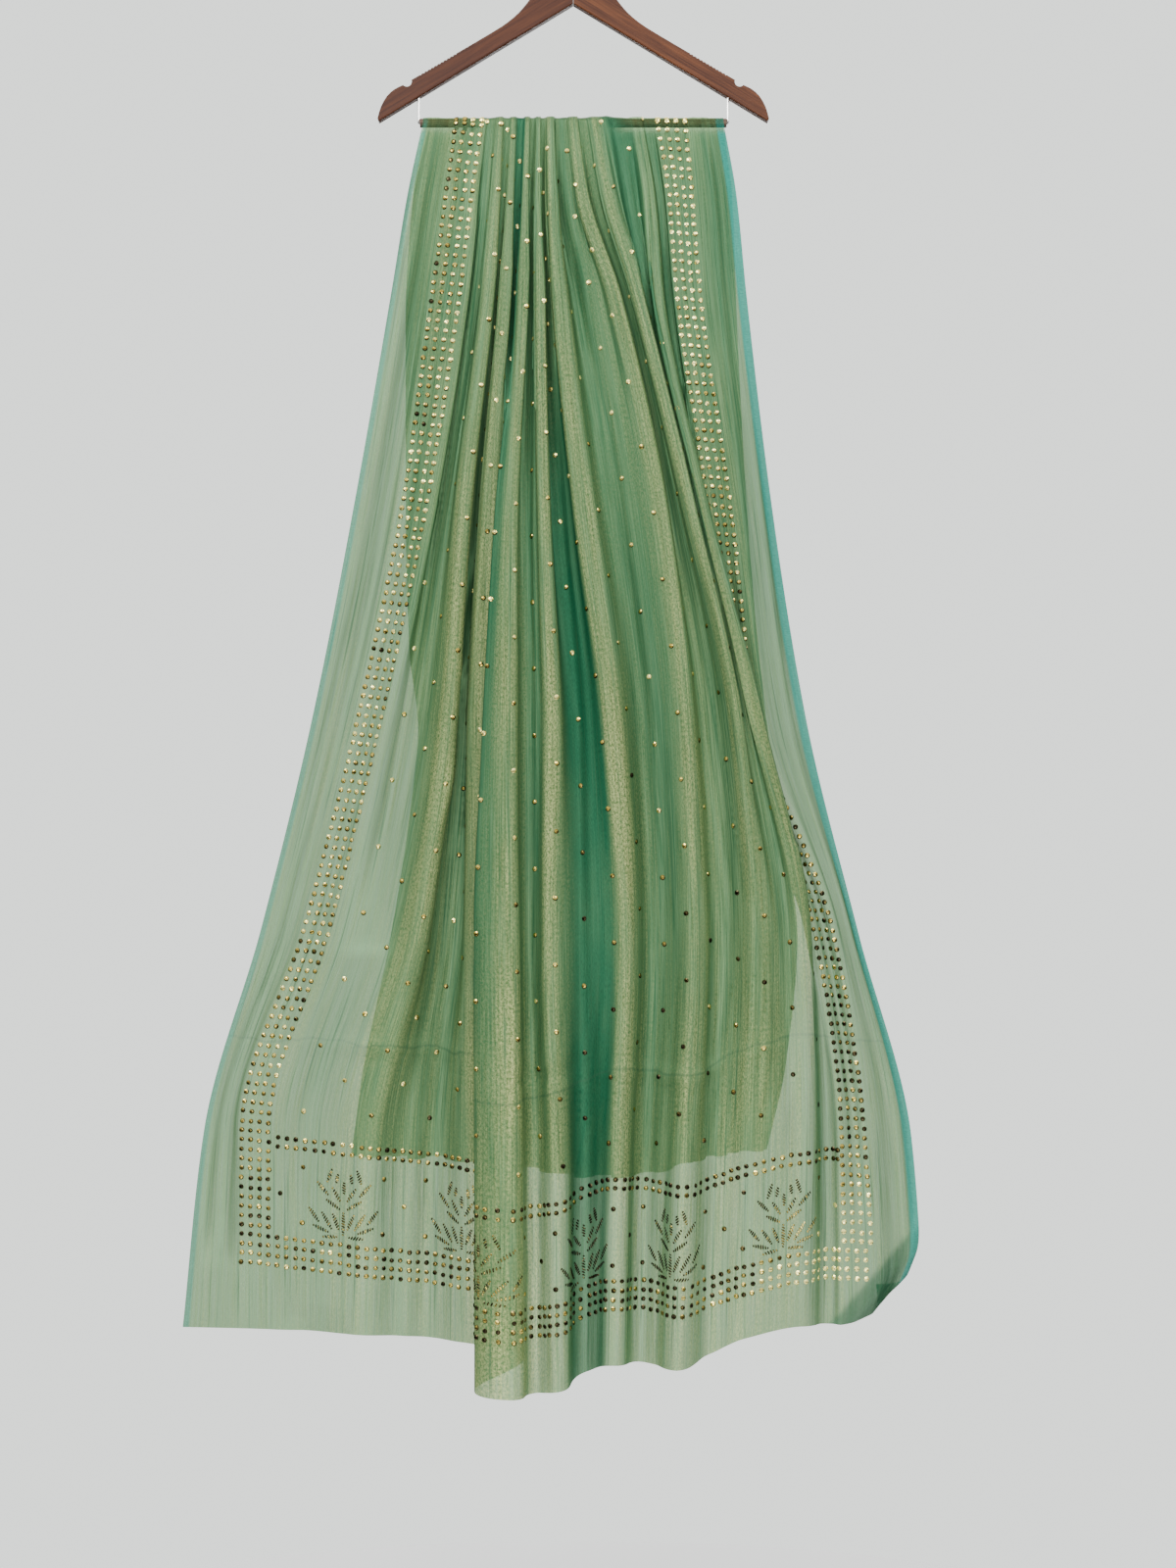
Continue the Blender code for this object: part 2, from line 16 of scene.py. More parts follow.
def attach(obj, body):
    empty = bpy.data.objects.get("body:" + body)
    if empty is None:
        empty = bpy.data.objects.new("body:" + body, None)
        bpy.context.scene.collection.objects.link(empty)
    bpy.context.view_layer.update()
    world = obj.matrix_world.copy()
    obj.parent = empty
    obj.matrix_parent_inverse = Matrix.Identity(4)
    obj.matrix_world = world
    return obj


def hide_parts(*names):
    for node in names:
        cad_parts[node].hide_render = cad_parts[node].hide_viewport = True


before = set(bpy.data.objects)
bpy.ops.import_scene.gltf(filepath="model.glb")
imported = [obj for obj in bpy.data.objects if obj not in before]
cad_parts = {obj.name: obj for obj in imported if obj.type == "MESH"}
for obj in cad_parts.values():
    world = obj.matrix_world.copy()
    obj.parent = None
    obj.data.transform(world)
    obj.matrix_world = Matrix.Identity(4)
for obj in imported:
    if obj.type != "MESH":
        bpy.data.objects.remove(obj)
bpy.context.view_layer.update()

MM = 0.001
SEED = 7
random = np.random.default_rng(SEED)

# The cloth's cut, and the path of its middle over the bar
BAR_Z = -259.0
BAR_PATH_RADIUS = 5.85
CLOTH_WIDTH = 1046.0

# The grid of points that the cloth is made from
WAVE_POINTS = 96
COLUMN_STEP = 3.9
FRONT_ROWS = 196
BACK_ROWS = 150
TURN_ROWS = 8

# How hard the cloth may turn at a fold, in radians: where the bar presses it flat, below that, and the
# end of the table of turns
FLATTEST_TURN, FULLEST_TURN, HARDEST_TURN = 1.5, 2.0, 2.2
TURN_COUNT = 221
# The bar's press fades out over this share of the drop. Over the top of the bar it takes a share of the
# folds' depth
PRESSED_SHARE = 0.12
TOP_PRESS = 0.6
# How far out from the bar's face a point lies at least: at the bar, and how much less below it
NEAREST_AT_BAR, NEAREST_DROP = -0.4, 3.0

# Small pleats in each hollow, and the most that they may lengthen its section: at the bar, half way and
# at the hem
PLEAT_PITCH = 44.0
FRONT_PLEATS = (1.7, 1.06, 1.02)
BACK_PLEATS = (1.8, 1.3, 1.18)
FLATTEST_PLEATS = 1.04
PLEAT_DRIFT_ACROSS, PLEAT_DRIFT_DOWN = 0.3, 0.35
PLEAT_MEAN, PLEAT_SWELL = 0.72, 0.28

# Where the painted shade rises and falls, as shares of the way across a hollow
SHADE_RISE, SHADE_FALL = (0.0, 0.45), (0.84, 0.98)
# Where one crest's painted golden sheen ends and the next one's starts: at the bar, half way and at the hem
GOLD_FALL_END, GOLD_RISE_START = (1.0, 0.75, 1.15), (0.25, 0.58, 0.2)

# The least that a slope counts as facing forward
LEAST_FACING = 0.45
# One layer lies over the bar near both edges: it ends between the first two values of u, and starts again
# between the last two. The bar shows through it as far along the cloth as this reach, with a fade
THIN_ACROSS = (50, 100, 855, 885)
THIN_REACH, THIN_FADE = 19.0, 3.0

# A fold line's u, its x at the front's levels, its distance out at the bar, half way and at the hem, its
# drop, and how much of its natural depth the hollow left of it keeps. Levels are shares of the drop
FRONT_LEVELS = (0, 0.062, 0.142, 0.318, 0.494, 0.669, 0.837, 1)
Fold = namedtuple("Fold", "across x out fall depth")
FRONT_FOLDS = (
    Fold(0, (-171, -189, -207, -249, -296, -354, -419, -443), (0, 5, 8), 1370, 1),
    Fold(60, (-133, -145, -160, -194, -244, -305, -376, -376), (0, 4, 10), 1371, 1),
    Fold(90, (-104, -116, -129, -167, -218, -277, -346, -345), (0, 5, 10), 1372, 1),
    Fold(190, (-83, -87, -96, -125, -143, -179, -238, -246), (3.4, 30, 16), 1377, 1),
    Fold(340, (-68, -72, -79, -97, -108, -106, -101, -100), (3.2, 16, 6), 1392, 1),
    Fold(480, (-52, -55, -58, -70, -72, -68, -66, -66), (3.6, 44, 62), 1438, 1),
    Fold(550, (-40, -41, -40, -35, -26, -28, -19, -17), (3.4, 36, 52), 1432, 1),
    Fold(640, (-28, -27, -20, 7, 41, 56, 48, 44), (3.6, 36, 42), 1405, 1),
    Fold(745, (0, 10, 45, 97, 125, 134, 123, 116), (3.6, 34, 44), 1410, 1),
    Fold(835, (22, 38, 71, 130, 184, 205, 200, 196), (3.4, 40, 26), 1378, 1),
    Fold(900, (72, 84, 92, 145, 200, 256, 266, 261), (2.6, 34, 22), 1366, 0.5),
    Fold(956, (96, 109, 118, 152, 178, 272, 304, 308), (0, 8, 12), 1368, 1),
    Fold(986, (127, 135, 144, 178, 208, 294, 330, 342), (0, 5, 10), 1372, 1),
    Fold(1046, (171, 186, 197, 226, 265, 324, 384, 400), (0, 4, 8), 1380, 1),
)
# How much painted shade the hollow left of each fold line gets, and how golden its crest is, the golden
# weft brightened by painted sheen, at the bar, half way and at the hem
FRONT_SHADE = {
    60: (0.1, 0.1, 0.1),
    90: (0.1, 0.1, 0.1),
    190: (0.15, 0.15, 0.1),
    340: (0.2, 0.2, 0.2),
    480: (0.75, 0.7, 0.2),
    550: (0.2, 0.45, 0.05),
    640: (-0.1, 1.0, 0.75),
    745: (0.3, 0.45, 0.05),
    835: (0.25, 0.1, 0.0),
    900: (0.7, 0.15, 0.05),
    956: (0.4, 0.3, 0.15),
    986: (0.1, 0.1, 0.1),
    1046: (0.2, 0.2, 0.1),
}
FRONT_GOLD_SHEEN = {
    0: (0.5, 0.15, 0.2),
    60: (0.5, 0.2, 0.2),
    90: (0.35, 0.2, 0.2),
    190: (0.5, 0.75, 0.4),
    340: (0.45, 0.8, 0.65),
    480: (0.4, 0.85, 0.95),
    550: (0.4, 0.8, 0.5),
    640: (0.45, 0.85, 0.45),
    745: (0.65, 0.65, 0.55),
    835: (0.5, 0.6, 0.55),
    900: (0.25, 0.45, 0.45),
    956: (0.25, 0.35, 0.35),
    986: (0.2, 0.2, 0.2),
    1046: (0.15, 0.1, 0.2),
}
# How far the hollow left of a fold line is doubled over itself at the front's levels. From FULLY_DOUBLED
# on it has no other depth
DOUBLED = {
    480: (0, 0, 0, 11, 20, 33, 35, 35),
    956: (0, 0, 0, 4, 19, 6, 0, 0),
}
FULLY_DOUBLED = 5.0
# How much of their natural depth the folds keep: at the bar, half way and at the hem
FRONT_DEPTH = (0.15, 0.62, 0.8)
BACK_DEPTH = (0.15, 0.5, 0.6)

# The back fall's edges in x at its own levels, and its fold lines' shares of the way between them
BACK_LEVELS = (0, 0.074, 0.187, 0.376, 0.508, 0.584, 0.67, 0.793, 0.915, 1)
BACK_LEFT = (-171, -184, -192, -192, -188, -178, -188, -211, -241, -255)
BACK_RIGHT = (171, 182, 187, 199, 212, 222, 236, 257, 244, 222)
# The painted shade and the golden sheen mean what they do in the front fall's two tables, and hold from
# the bar to the hem
BackFold = namedtuple("BackFold", "share out fall shade gold")
BACK_FOLDS = (
    BackFold(0, (0, 6, 8), 1181, 0, 0.3),
    BackFold(0.084, (0, 8, 12), 1181, 0.15, 0.25),
    BackFold(0.12, (0, 12, 16), 1182, 0.1, 0.3),
    BackFold(0.2, (3.4, 30, 30), 1184, 0.35, 0.6),
    BackFold(0.325, (3.2, 22, 34), 1189, 0.75, 0.3),
    BackFold(0.43, (3.6, 34, 40), 1199, 0.3, 0.65),
    BackFold(0.52, (3.4, 30, 42), 1207, 0.55, 0.8),
    BackFold(0.6, (3.6, 34, 44), 1209, 0.2, 0.45),
    BackFold(0.71, (3.6, 32, 40), 1205, 0.8, 0.7),
    BackFold(0.8, (3.4, 34, 36), 1194, 0.3, 0.4),
    BackFold(0.86, (2.6, 26, 28), 1184, 0.5, 0.6),
    BackFold(0.908, (0, 16, 18), 1179, 0.2, 0.35),
    BackFold(0.937, (0, 10, 14), 1176, 0.1, 0.3),
    BackFold(1, (0, 6, 8), 1173, 0.2, 0.2),
)

# The turned corner: its crease from top to foot in x and z, how far it turns back and over what run, and
# the same for its tip
CREASE_TOP, CREASE_FOOT = (391, -1508), (284, -1626)
CORNER_TURN, CORNER_TURN_RUN = math.radians(56), 34.0
TIP_TURN, TIP_TURN_START, TIP_TURN_RUN = math.radians(80), 56.0, 28.0
CORNER_REACH, CORNER_STEPS = 140.0, 280
# The turned corner's painted shade, and the run over which it comes in past the crease
CORNER_SHADE, CORNER_SHADE_RUN = 0.75, 8.0

# Creases pressed into the cloth by hand and by folding away. u and v are where one is centred, run is
# its length, lean how far it drifts across over that length, width its reach either side and rise its
# height, less than nothing for a trough. A level one runs across the cloth instead of down it
Crease = namedtuple("Crease", "u v run lean width rise level")
FRONT_CREASES = (
    Crease(30, 1180, 360, 10, 9, 1.2, False),
    Crease(42, 820, 420, -8, 8, -1.0, False),
    Crease(22, 520, 330, 6, 7, 0.9, False),
    Crease(120, 1010, 300, 16, 10, 1.6, False),
    Crease(138, 760, 420, 22, 12, 2.2, False),
    Crease(165, 520, 360, -14, 11, -2.0, False),
    Crease(128, 300, 320, 10, 9, 1.5, False),
    Crease(212, 640, 210, 42, 9, 3.4, False),
    Crease(246, 720, 150, 58, 8, -3.6, False),
    Crease(262, 850, 170, 44, 8, 3.2, False),
    Crease(282, 600, 140, 50, 7, 3.4, False),
    Crease(226, 790, 110, 46, 6, 3.0, False),
    Crease(272, 760, 90, 52, 6, 3.2, False),
    Crease(300, 690, 100, 34, 6, -3.0, False),
    Crease(236, 905, 130, -26, 7, 2.6, False),
    Crease(296, 930, 120, 30, 7, -2.6, False),
    Crease(232, 330, 300, 12, 12, 2.6, False),
    Crease(292, 240, 280, -20, 11, -2.0, False),
    Crease(322, 120, 190, 8, 9, 1.6, False),
    Crease(505, 900, 380, 6, 8, 1.6, False),
    Crease(518, 420, 420, -8, 9, -1.8, False),
    Crease(536, 180, 300, 4, 7, 1.2, False),
    Crease(598, 560, 420, 10, 9, 1.8, False),
    Crease(668, 1010, 360, -12, 10, -1.9, False),
    Crease(692, 560, 380, 14, 10, 2.2, False),
    Crease(708, 250, 300, 6, 9, 1.6, False),
    Crease(776, 900, 330, 18, 9, 2.0, False),
    Crease(796, 520, 340, -10, 10, -2.2, False),
    Crease(782, 240, 280, 8, 9, 1.4, False),
    Crease(868, 820, 260, 26, 8, 2.0, False),
    Crease(862, 460, 260, -22, 9, 2.2, False),
    Crease(884, 250, 250, -14, 10, -1.7, False),
    Crease(1008, 1080, 320, 6, 8, 1.1, False),
    Crease(1018, 700, 380, -8, 8, -1.0, False),
    Crease(1004, 380, 300, 8, 8, 1.3, False),
    Crease(220, 326, 300, 6, 8, 2.6, True),
    Crease(530, 352, 150, -4, 8, -2.6, True),
    Crease(740, 326, 380, -14, 8, 2.6, True),
    Crease(1005, 1300, 70, 2, 2.2, 0.8, True),
    Crease(140, 700, 160, 10, 3, 0.7, True),
    Crease(880, 880, 130, -8, 3, 0.6, True),
)
BACK_CREASES = (
    Crease(34, 900, 320, 8, 9, 1.2, False),
    Crease(120, 620, 380, -14, 11, 2.0, False),
    Crease(160, 300, 300, 12, 10, -1.8, False),
    Crease(250, 760, 300, 24, 10, 2.1, False),
    Crease(300, 380, 280, -18, 10, 1.9, False),
    Crease(420, 640, 340, 12, 10, -2.0, False),
    Crease(455, 280, 260, -8, 9, 1.7, False),
    Crease(540, 820, 340, 10, 9, 1.8, False),
    Crease(610, 420, 330, -12, 10, 2.1, False),
    Crease(700, 700, 360, 14, 10, -1.9, False),
    Crease(780, 330, 300, 10, 9, 1.7, False),
    Crease(860, 720, 260, -20, 9, 1.9, False),
    Crease(1005, 520, 360, 6, 8, 1.1, False),
    Crease(300, 330, 420, 8, 2.4, 0.9, True),
    Crease(760, 322, 380, -8, 2.4, -0.9, True),
)

# Foil dots: their size, their form in radii and rises, and how unevenly they lie
DOT_RADIUS = 3.0
DOT_RISE = 0.95
DOT_SIDES = 8
SHOULDER_REACH, SHOULDER_RISE = 0.58, 0.74
CROWN = (0.08, 0.12, 1.0)
FOIL_LIFT = 0.25
DOT_TILT = 11.0
DOT_JITTER, DOT_SIZES = 0.35, (0.92, 1.06)

# Where the dots lie: side bands, an end band that follows the hem, a double row, and the field
FRONT_FOIL_TOP, BACK_FOIL_TOP = 1392.0, 1187.0
DOT_PITCH = 10.0
ROW_PITCH = 10.7
BAND_COLUMNS = (60, 70, 80, 90, 956, 966, 976, 986)
BAND_FOOT_U = (0, 150, 300, 560, 740, 850, 1046)
BAND_FOOT_V = (80, 70, 63, 64, 60, 50, 60)
BAND_ROWS = (0, 10.5, 21, 31.5)
DOUBLE_ROWS = (135, 145)
FIELD_ACROSS, FIELD_ALONG = 72.0, 75.0
FIELD_LEFT, FIELD_RIGHT_CLEAR, FIELD_FOOT_CLEAR = 126, 22, 24

# Sprigs, with each stroke's start and end from the foot of the stem. SPRIG_STROKES are mirrored
SPRIG_PITCH = 140
SPRIG_U = tuple(173 + SPRIG_PITCH * i for i in range(6))
SPRIG_FOOT = 40.0
SPRIG_STEM, SPRIG_HEART = ((0, 2), (0, 27)), ((0, 45), (0, 58))
SPRIG_STROKES = (
    ((5, 1), (21, 0)),
    ((14, 5), (31, 12)),
    ((24, 15), (35, 30)),
    ((11, 8), (22, 26)),
    ((4, 8), (11, 25)),
    ((3, 29), (18, 39)),
    ((3, 37), (12, 52)),
    ((15, 43), (27, 57)),
    ((17, 56), (12, 71)),
    ((8, 56), (6, 66)),
)
SPRIG_SCALE = 1.1
# The dashes that a stroke is made of, and the single dots between sprigs
DASH_PITCH, DASH_RADIUS, DASH_SLANT = 2.7, 1.05, math.radians(62)
DASH_ENDS, DASH_SWELL, DASH_TONE = 1.1, 2.0, 0.72
DASH_SIDES, DASH_TILT = 6, 10.0
SPARE_DOTS = ((0, 82), (-25, 113), (25, 113), (-25, 50), (25, 50))
SPARE_CLEAR = 8

# How bright the foil is painted, from 0 to 1, at heights above the hem in each half of the cloth: painted
# reflection, dark low on the cloth and brighter higher up. It gains a painted glint in the right corner,
# drifts in patches, drops in two columns and gets painted shade at one side of a dot's rim
SHINE_HEIGHTS = (0, 160, 330, 560, 900, 1180, 1400)
SHINE_LEFT = (0.38, 0.36, 0.51, 0.56, 0.6, 0.72, 0.68)
SHINE_RIGHT = (0.33, 0.22, 0.28, 0.45, 0.6, 0.85, 0.8)
CORNER_GLINT_REACH, CORNER_GLINT, TONE_SPREAD = 240.0, 1.7, 0.11
TONE_DRIFT, TONE_PATCH = 0.26, 34.0
DARKER_COLUMNS_END, DARKER_FROM, DARKER_DROP = 75.0, 1020.0, 0.22
RIM_SHADE, RIM_LIT_TURN = 0.45, 2.2


# Smooth reading of the tables


def smooth_read(levels, values, at):
    """Values at the given levels on a smooth curve that never overshoots its table."""
    x, y = np.array(levels, float), np.array(values, float)
    run, slope = np.diff(x), np.diff(y) / np.diff(x)
    tangent = np.empty_like(y)
    tangent[0], tangent[-1] = slope[0], slope[-1]
    same_way = slope[:-1] * slope[1:] > 0
    total = np.where(same_way, slope[:-1] + slope[1:], 1)
    tangent[1:-1] = np.where(same_way, 2 * slope[:-1] * slope[1:] / total, 0)
    i = np.clip(np.searchsorted(x, at, side="right") - 1, 0, len(run) - 1)
    t = (at - x[i]) / run[i]
    hold = y[i] * (1 + 2 * t) * (1 - t) ** 2 + y[i + 1] * t * t * (3 - 2 * t)
    swing = tangent[i] * t * (1 - t) ** 2 - tangent[i + 1] * t * t * (1 - t)
    return hold + run[i] * swing


def three_part(values, share):
    """Reads a value given at the bar, half way and at the hem."""
    return smooth_read((0, 0.5, 1), values, share)


# Folds


PHASE = np.linspace(0, 2 * math.pi, WAVE_POINTS + 1)
# How far a strip of cloth advances for its length, against how hard it turns at each fold
TURNS = np.linspace(0, HARDEST_TURN, TURN_COUNT)
ADVANCE = np.cos(TURNS[:, None] * np.sin(PHASE[:-1])).mean(axis=1)
FOLD_ACROSS = [fold.across for fold in FRONT_FOLDS]
LENGTHS = np.diff(FOLD_ACROSS)
STEPS = [max(3, round(length / COLUMN_STEP)) for length in LENGTHS]
DEPTHS = np.array([fold.depth for fold in FRONT_FOLDS[1:]])
COLUMNS = np.concatenate(
    [[0]] + [np.linspace(a, b, n + 1)[1:] for a, b, n in zip(FOLD_ACROSS, FOLD_ACROSS[1:], STEPS)]
)


def fold_shape(width, length, fullest, steps):
    """One fold of cloth from crest to crest: x from 0 to width, and depth."""
    ratio = min(max(width / length, 0), 1)
    turn = min(float(np.interp(ratio, ADVANCE[::-1], TURNS[::-1])), fullest)
    angle = turn * np.sin(PHASE)
    step = length / (len(PHASE) - 1)
    middle = (angle[1:] + angle[:-1]) / 2
    x = np.concatenate([[0], np.cumsum(np.cos(middle)) * step])
    depth = np.concatenate([[0], np.cumsum(np.sin(middle)) * step])
    x *= width / x[-1]
    at = np.linspace(0, 2 * math.pi, steps + 1)
    return np.interp(at, PHASE, x), np.interp(at, PHASE, depth)


def add_pleats(x, out, t, k, share, most):
    """Small uneven pleats across one hollow. They take up length that its large fold doesn't, up to a
    most, and die out at its two fold lines. How unevenly they lie is given."""
    run = np.hypot(np.diff(x), np.diff(out)).sum()
    most = FLATTEST_PLEATS + (most - FLATTEST_PLEATS) * min(share / PRESSED_SHARE, 1)
    spare = min(LENGTHS[k] / run, most) - 1
    if spare <= 0:
        return x, out
    count = max(1, round(LENGTHS[k] / PLEAT_PITCH))
    drift = PLEAT_DRIFT_ACROSS * np.sin(2 * math.pi * 1.7 * t + k)
    drift = drift + PLEAT_DRIFT_DOWN * math.sin(7 * share + 2 * k)
    swell = PLEAT_MEAN + PLEAT_SWELL * np.sin(2 * math.pi * (2.3 * t + 1.9 * share) + k)
    wave = np.sin(2 * math.pi * count * t + drift) * swell * np.sqrt(np.sin(math.pi * t).clip(0))
    height = run / count / math.pi * math.sqrt(spare)
    along_x, along_out = np.gradient(x), np.gradient(out)
    length = np.maximum(np.hypot(along_x, along_out), 1e-6)
    return x - along_out / length * height * wave, out + along_x / length * height * wave


def ease(span, t):
    """Eases from 0 to 1 over a span."""
    s = np.clip((t - span[0]) / (span[1] - span[0]), 0, 1)
    return s * s * (3 - 2 * s)


def section(share, fold_x, fold_out, depths, doubled, most, looks):
    """A level of the cloth: x, distance out from the bar's face, and how much painted shade and painted
    golden sheen each point gets. most is the most that small pleats lengthen it, and looks the tables'
    shade and sheen."""
    fullest = fullest_at(share)
    shade, gold = looks
    at = np.array([share])
    fall_end, rise_start = three_part(GOLD_FALL_END, at)[0], three_part(GOLD_RISE_START, at)[0]
    xs, outs, shades, golds = [fold_x[0]], [fold_out[0]], [0.0], [gold[0]]
    for k, count in enumerate(STEPS):
        width = fold_x[k + 1] - fold_x[k]
        x, depth = fold_shape(max(width, 1), LENGTHS[k], fullest, count)
        t = np.linspace(0, 1, count + 1)
        flat = min(doubled[k] / FULLY_DOUBLED, 1)
        x = x * (1 - flat) + width * t * flat + doubled[k] * np.sin(2 * math.pi * t)
        base = fold_out[k] + (fold_out[k + 1] - fold_out[k]) * (t + (t * t * (3 - 2 * t) - t) * flat)
        natural = max(depth.max(), 1e-6)
        room = (fold_out[k] + fold_out[k + 1]) / 2
        reach = min(natural * depths[k], room) * (1 - flat)
        x, out = add_pleats(fold_x[k] + x, base - reach * depth / natural, t, k, share, most)
        xs.extend(x[1:])
        outs.extend(out[1:])
        shades.extend((shade[k] * ease(SHADE_RISE, t) * (1 - ease(SHADE_FALL, t)))[1:])
        falling, rising = 1 - ease((0, fall_end), t), ease((rise_start, 1), t)
        golds.extend((gold[k] * falling + gold[k + 1] * rising)[1:])
    nearest = NEAREST_AT_BAR - NEAREST_DROP * min(share / PRESSED_SHARE, 1)
    return np.array(xs), np.maximum(outs, nearest), np.array([shades, golds])


def fullest_at(share):
    """The folds lie flatter at the bar, where they are pressed, than just below it."""
    return FLATTEST_TURN + (FULLEST_TURN - FLATTEST_TURN) * min(share / PRESSED_SHARE, 1)


def front_section(share):
    """The front fall's section at a share of its drop."""
    at = np.array([share])
    fold_x = [smooth_read(FRONT_LEVELS, fold.x, at)[0] for fold in FRONT_FOLDS]
    fold_out = [three_part(fold.out, at)[0] for fold in FRONT_FOLDS]
    depths = DEPTHS * three_part(FRONT_DEPTH, at)[0]
    doubled = np.zeros(len(LENGTHS))
    for across, runs in DOUBLED.items():
        doubled[FOLD_ACROSS.index(across) - 1] = smooth_read(FRONT_LEVELS, runs, at)[0]
    shade = [three_part(three, at)[0] for three in FRONT_SHADE.values()]
    gold = [three_part(three, at)[0] for three in FRONT_GOLD_SHEEN.values()]
    most = three_part(FRONT_PLEATS, at)[0]
    return section(share, fold_x, fold_out, depths, doubled, most, (shade, gold))


def back_section(share):
    """The back fall's section at a share of its drop."""
    at = np.array([share])
    left = smooth_read(BACK_LEVELS, BACK_LEFT, at)[0]
    right = smooth_read(BACK_LEVELS, BACK_RIGHT, at)[0]
    bar = [(fold.x[0] - BACK_LEFT[0]) / (BACK_RIGHT[0] - BACK_LEFT[0]) for fold in FRONT_FOLDS]
    blend = share * share * (3 - 2 * share)
    shares = [a + (b.share - a) * blend for a, b in zip(bar, BACK_FOLDS)]
    fold_x = [left + (right - left) * s for s in shares]
    fold_out = [three_part(fold.out, at)[0] for fold in BACK_FOLDS]
    depths = np.full(len(LENGTHS), three_part(BACK_DEPTH, at)[0])
    flat = np.zeros(len(LENGTHS))
    shade = [fold.shade for fold in BACK_FOLDS[1:]]
    gold = [fold.gold for fold in BACK_FOLDS]
    most = three_part(BACK_PLEATS, at)[0]
    return section(share, fold_x, fold_out, depths, flat, most, (shade, gold))


def turn_corner(points):
    """Turns the lower right corner back along its crease, and its tip once more. Gives the points and
    how shaded each one is for it."""
    top, foot = np.array(CREASE_TOP, float), np.array(CREASE_FOOT, float)
    along = (foot - top) / np.linalg.norm(foot - top)
    outward = np.array([-along[1], along[0]])
    if outward[0] < 0:
        outward = -outward
    reach = np.linspace(0, CORNER_REACH, CORNER_STEPS + 1)
    first = CORNER_TURN * np.clip(reach / CORNER_TURN_RUN, 0, 1)
    second = TIP_TURN * np.clip((reach - TIP_TURN_START) / TIP_TURN_RUN, 0, 1)
    angle = first + second
    step = reach[1]
    flat = np.concatenate([[0], np.cumsum(np.cos(angle[1:]) * step)])
    back = np.concatenate([[0], np.cumsum(np.sin(angle[1:]) * step)])
    past = (points[..., 0] - top[0]) * outward[0] + (points[..., 2] - top[1]) * outward[1]
    beyond = np.clip(past, 0, None)
    moved = np.interp(beyond, reach, flat) - beyond
    points[..., 0] += moved * outward[0]
    points[..., 2] += moved * outward[1]
    points[..., 1] += np.interp(beyond, reach, back)
    return points, CORNER_SHADE * ease((0, CORNER_SHADE_RUN), beyond)


# The whole cloth as one grid of points, from the front hem over the bar to the back hem


def normals_of(points):
    """Directions out of the cloth's good side at each point of a grid."""
    down = np.gradient(points, axis=0)
    across = np.gradient(points, axis=1)
    normal = np.cross(down, across)
    return normal / np.maximum(np.linalg.norm(normal, axis=2, keepdims=True), 1e-9)


def crease_height(creases, u, v):
    """How far the creases lift the cloth at each point."""
    height = np.zeros(np.broadcast(u, v).shape)
    for c in creases:
        along, aside = (u - c.u, v - c.v) if c.level else (v - c.v, u - c.u)
        part = np.clip(np.abs(along) / (c.run / 2), 0, 1)
        fade = (1 - part * part) ** 2
        off = (aside - c.lean * along / c.run) / c.width
        height += c.rise * fade * np.exp(-off * off)
    return height


def fall_points(rows, section_at, folds, sign, creases):
    """Points of one fall from the bar down, their painted shade and golden sheen, and their heights above
    the hem.
    """
    drops = smooth_read(FOLD_ACROSS, [fold.fall for fold in folds], COLUMNS)
    points, looks, heights = [], [], []
    for share in np.linspace(0, 1, rows + 1):
        x, out, look = section_at(share)
        points.append(np.stack([x, sign * (BAR_PATH_RADIUS + out), BAR_Z - share * drops], axis=1))
        looks.append(look)
        heights.append((1 - share) * drops)
    points, heights = np.array(points), np.array(heights)
    normal = normals_of(points)
    lift = crease_height(creases, COLUMNS[None, :], heights)
    points = points + normal * lift[..., None] * np.sign(normal[..., 1:2] * sign + 1e-9)
    return points, np.array(looks), heights


def cloth_grid():
    """The cloth's points, the painted shade and golden sheen at each, and how far along the cut each one
    lies.
    """
    front, front_look, front_v = fall_points(FRONT_ROWS, front_section, FRONT_FOLDS, -1, FRONT_CREASES)
    back, back_look, back_v = fall_points(BACK_ROWS, back_section, BACK_FOLDS, 1, BACK_CREASES)
    front, corner_shade = turn_corner(front)
    front_look[:, 0] = np.maximum(front_look[:, 0], corner_shade)
    x, out, look = front_section(0)
    turn = []
    for row in range(1, TURN_ROWS):
        angle = math.pi * row / TURN_ROWS
        radius = BAR_PATH_RADIUS + out * (1 - TOP_PRESS * math.sin(angle))
        turn.append(np.stack([x, -radius * math.cos(angle), BAR_Z + radius * math.sin(angle)], axis=1))
    points = np.concatenate([front[::-1], np.array(turn), back])
    looks = np.concatenate([front_look[::-1], np.repeat(look[None], TURN_ROWS - 1, axis=0), back_look])
    over = np.linspace(0, math.pi * BAR_PATH_RADIUS, TURN_ROWS + 1)[1:-1, None]
    along_front = front_v[::-1]
    along_turn = front_v[0] + over
    along_back = front_v[0] + math.pi * BAR_PATH_RADIUS + (back_v[0] - back_v)
    along = np.concatenate([along_front, along_turn, along_back])
    return points, looks, along


POINTS, LOOKS, ALONG = cloth_grid()
NORMALS = normals_of(POINTS)
TOP_ROW = FRONT_ROWS
BACK_TOP_ROW = FRONT_ROWS + TURN_ROWS


def outward_normals():
    """The grid's normals, all on the side that the foil is printed on."""
    top_middle = NORMALS[TOP_ROW + TURN_ROWS // 2, len(COLUMNS) // 2]
    return NORMALS if top_middle[2] > 0 else -NORMALS


OUTWARD = outward_normals()
DOWN = np.gradient(POINTS, axis=0)


def share_and_column(folds, u, v):
    """How far up a fall a point lies, as a share of the drop there, and its column, in fractions."""
    drop = smooth_read(FOLD_ACROSS, [fold.fall for fold in folds], np.array([u]))[0]
    return v / drop, np.interp(u, COLUMNS, np.arange(len(COLUMNS)))


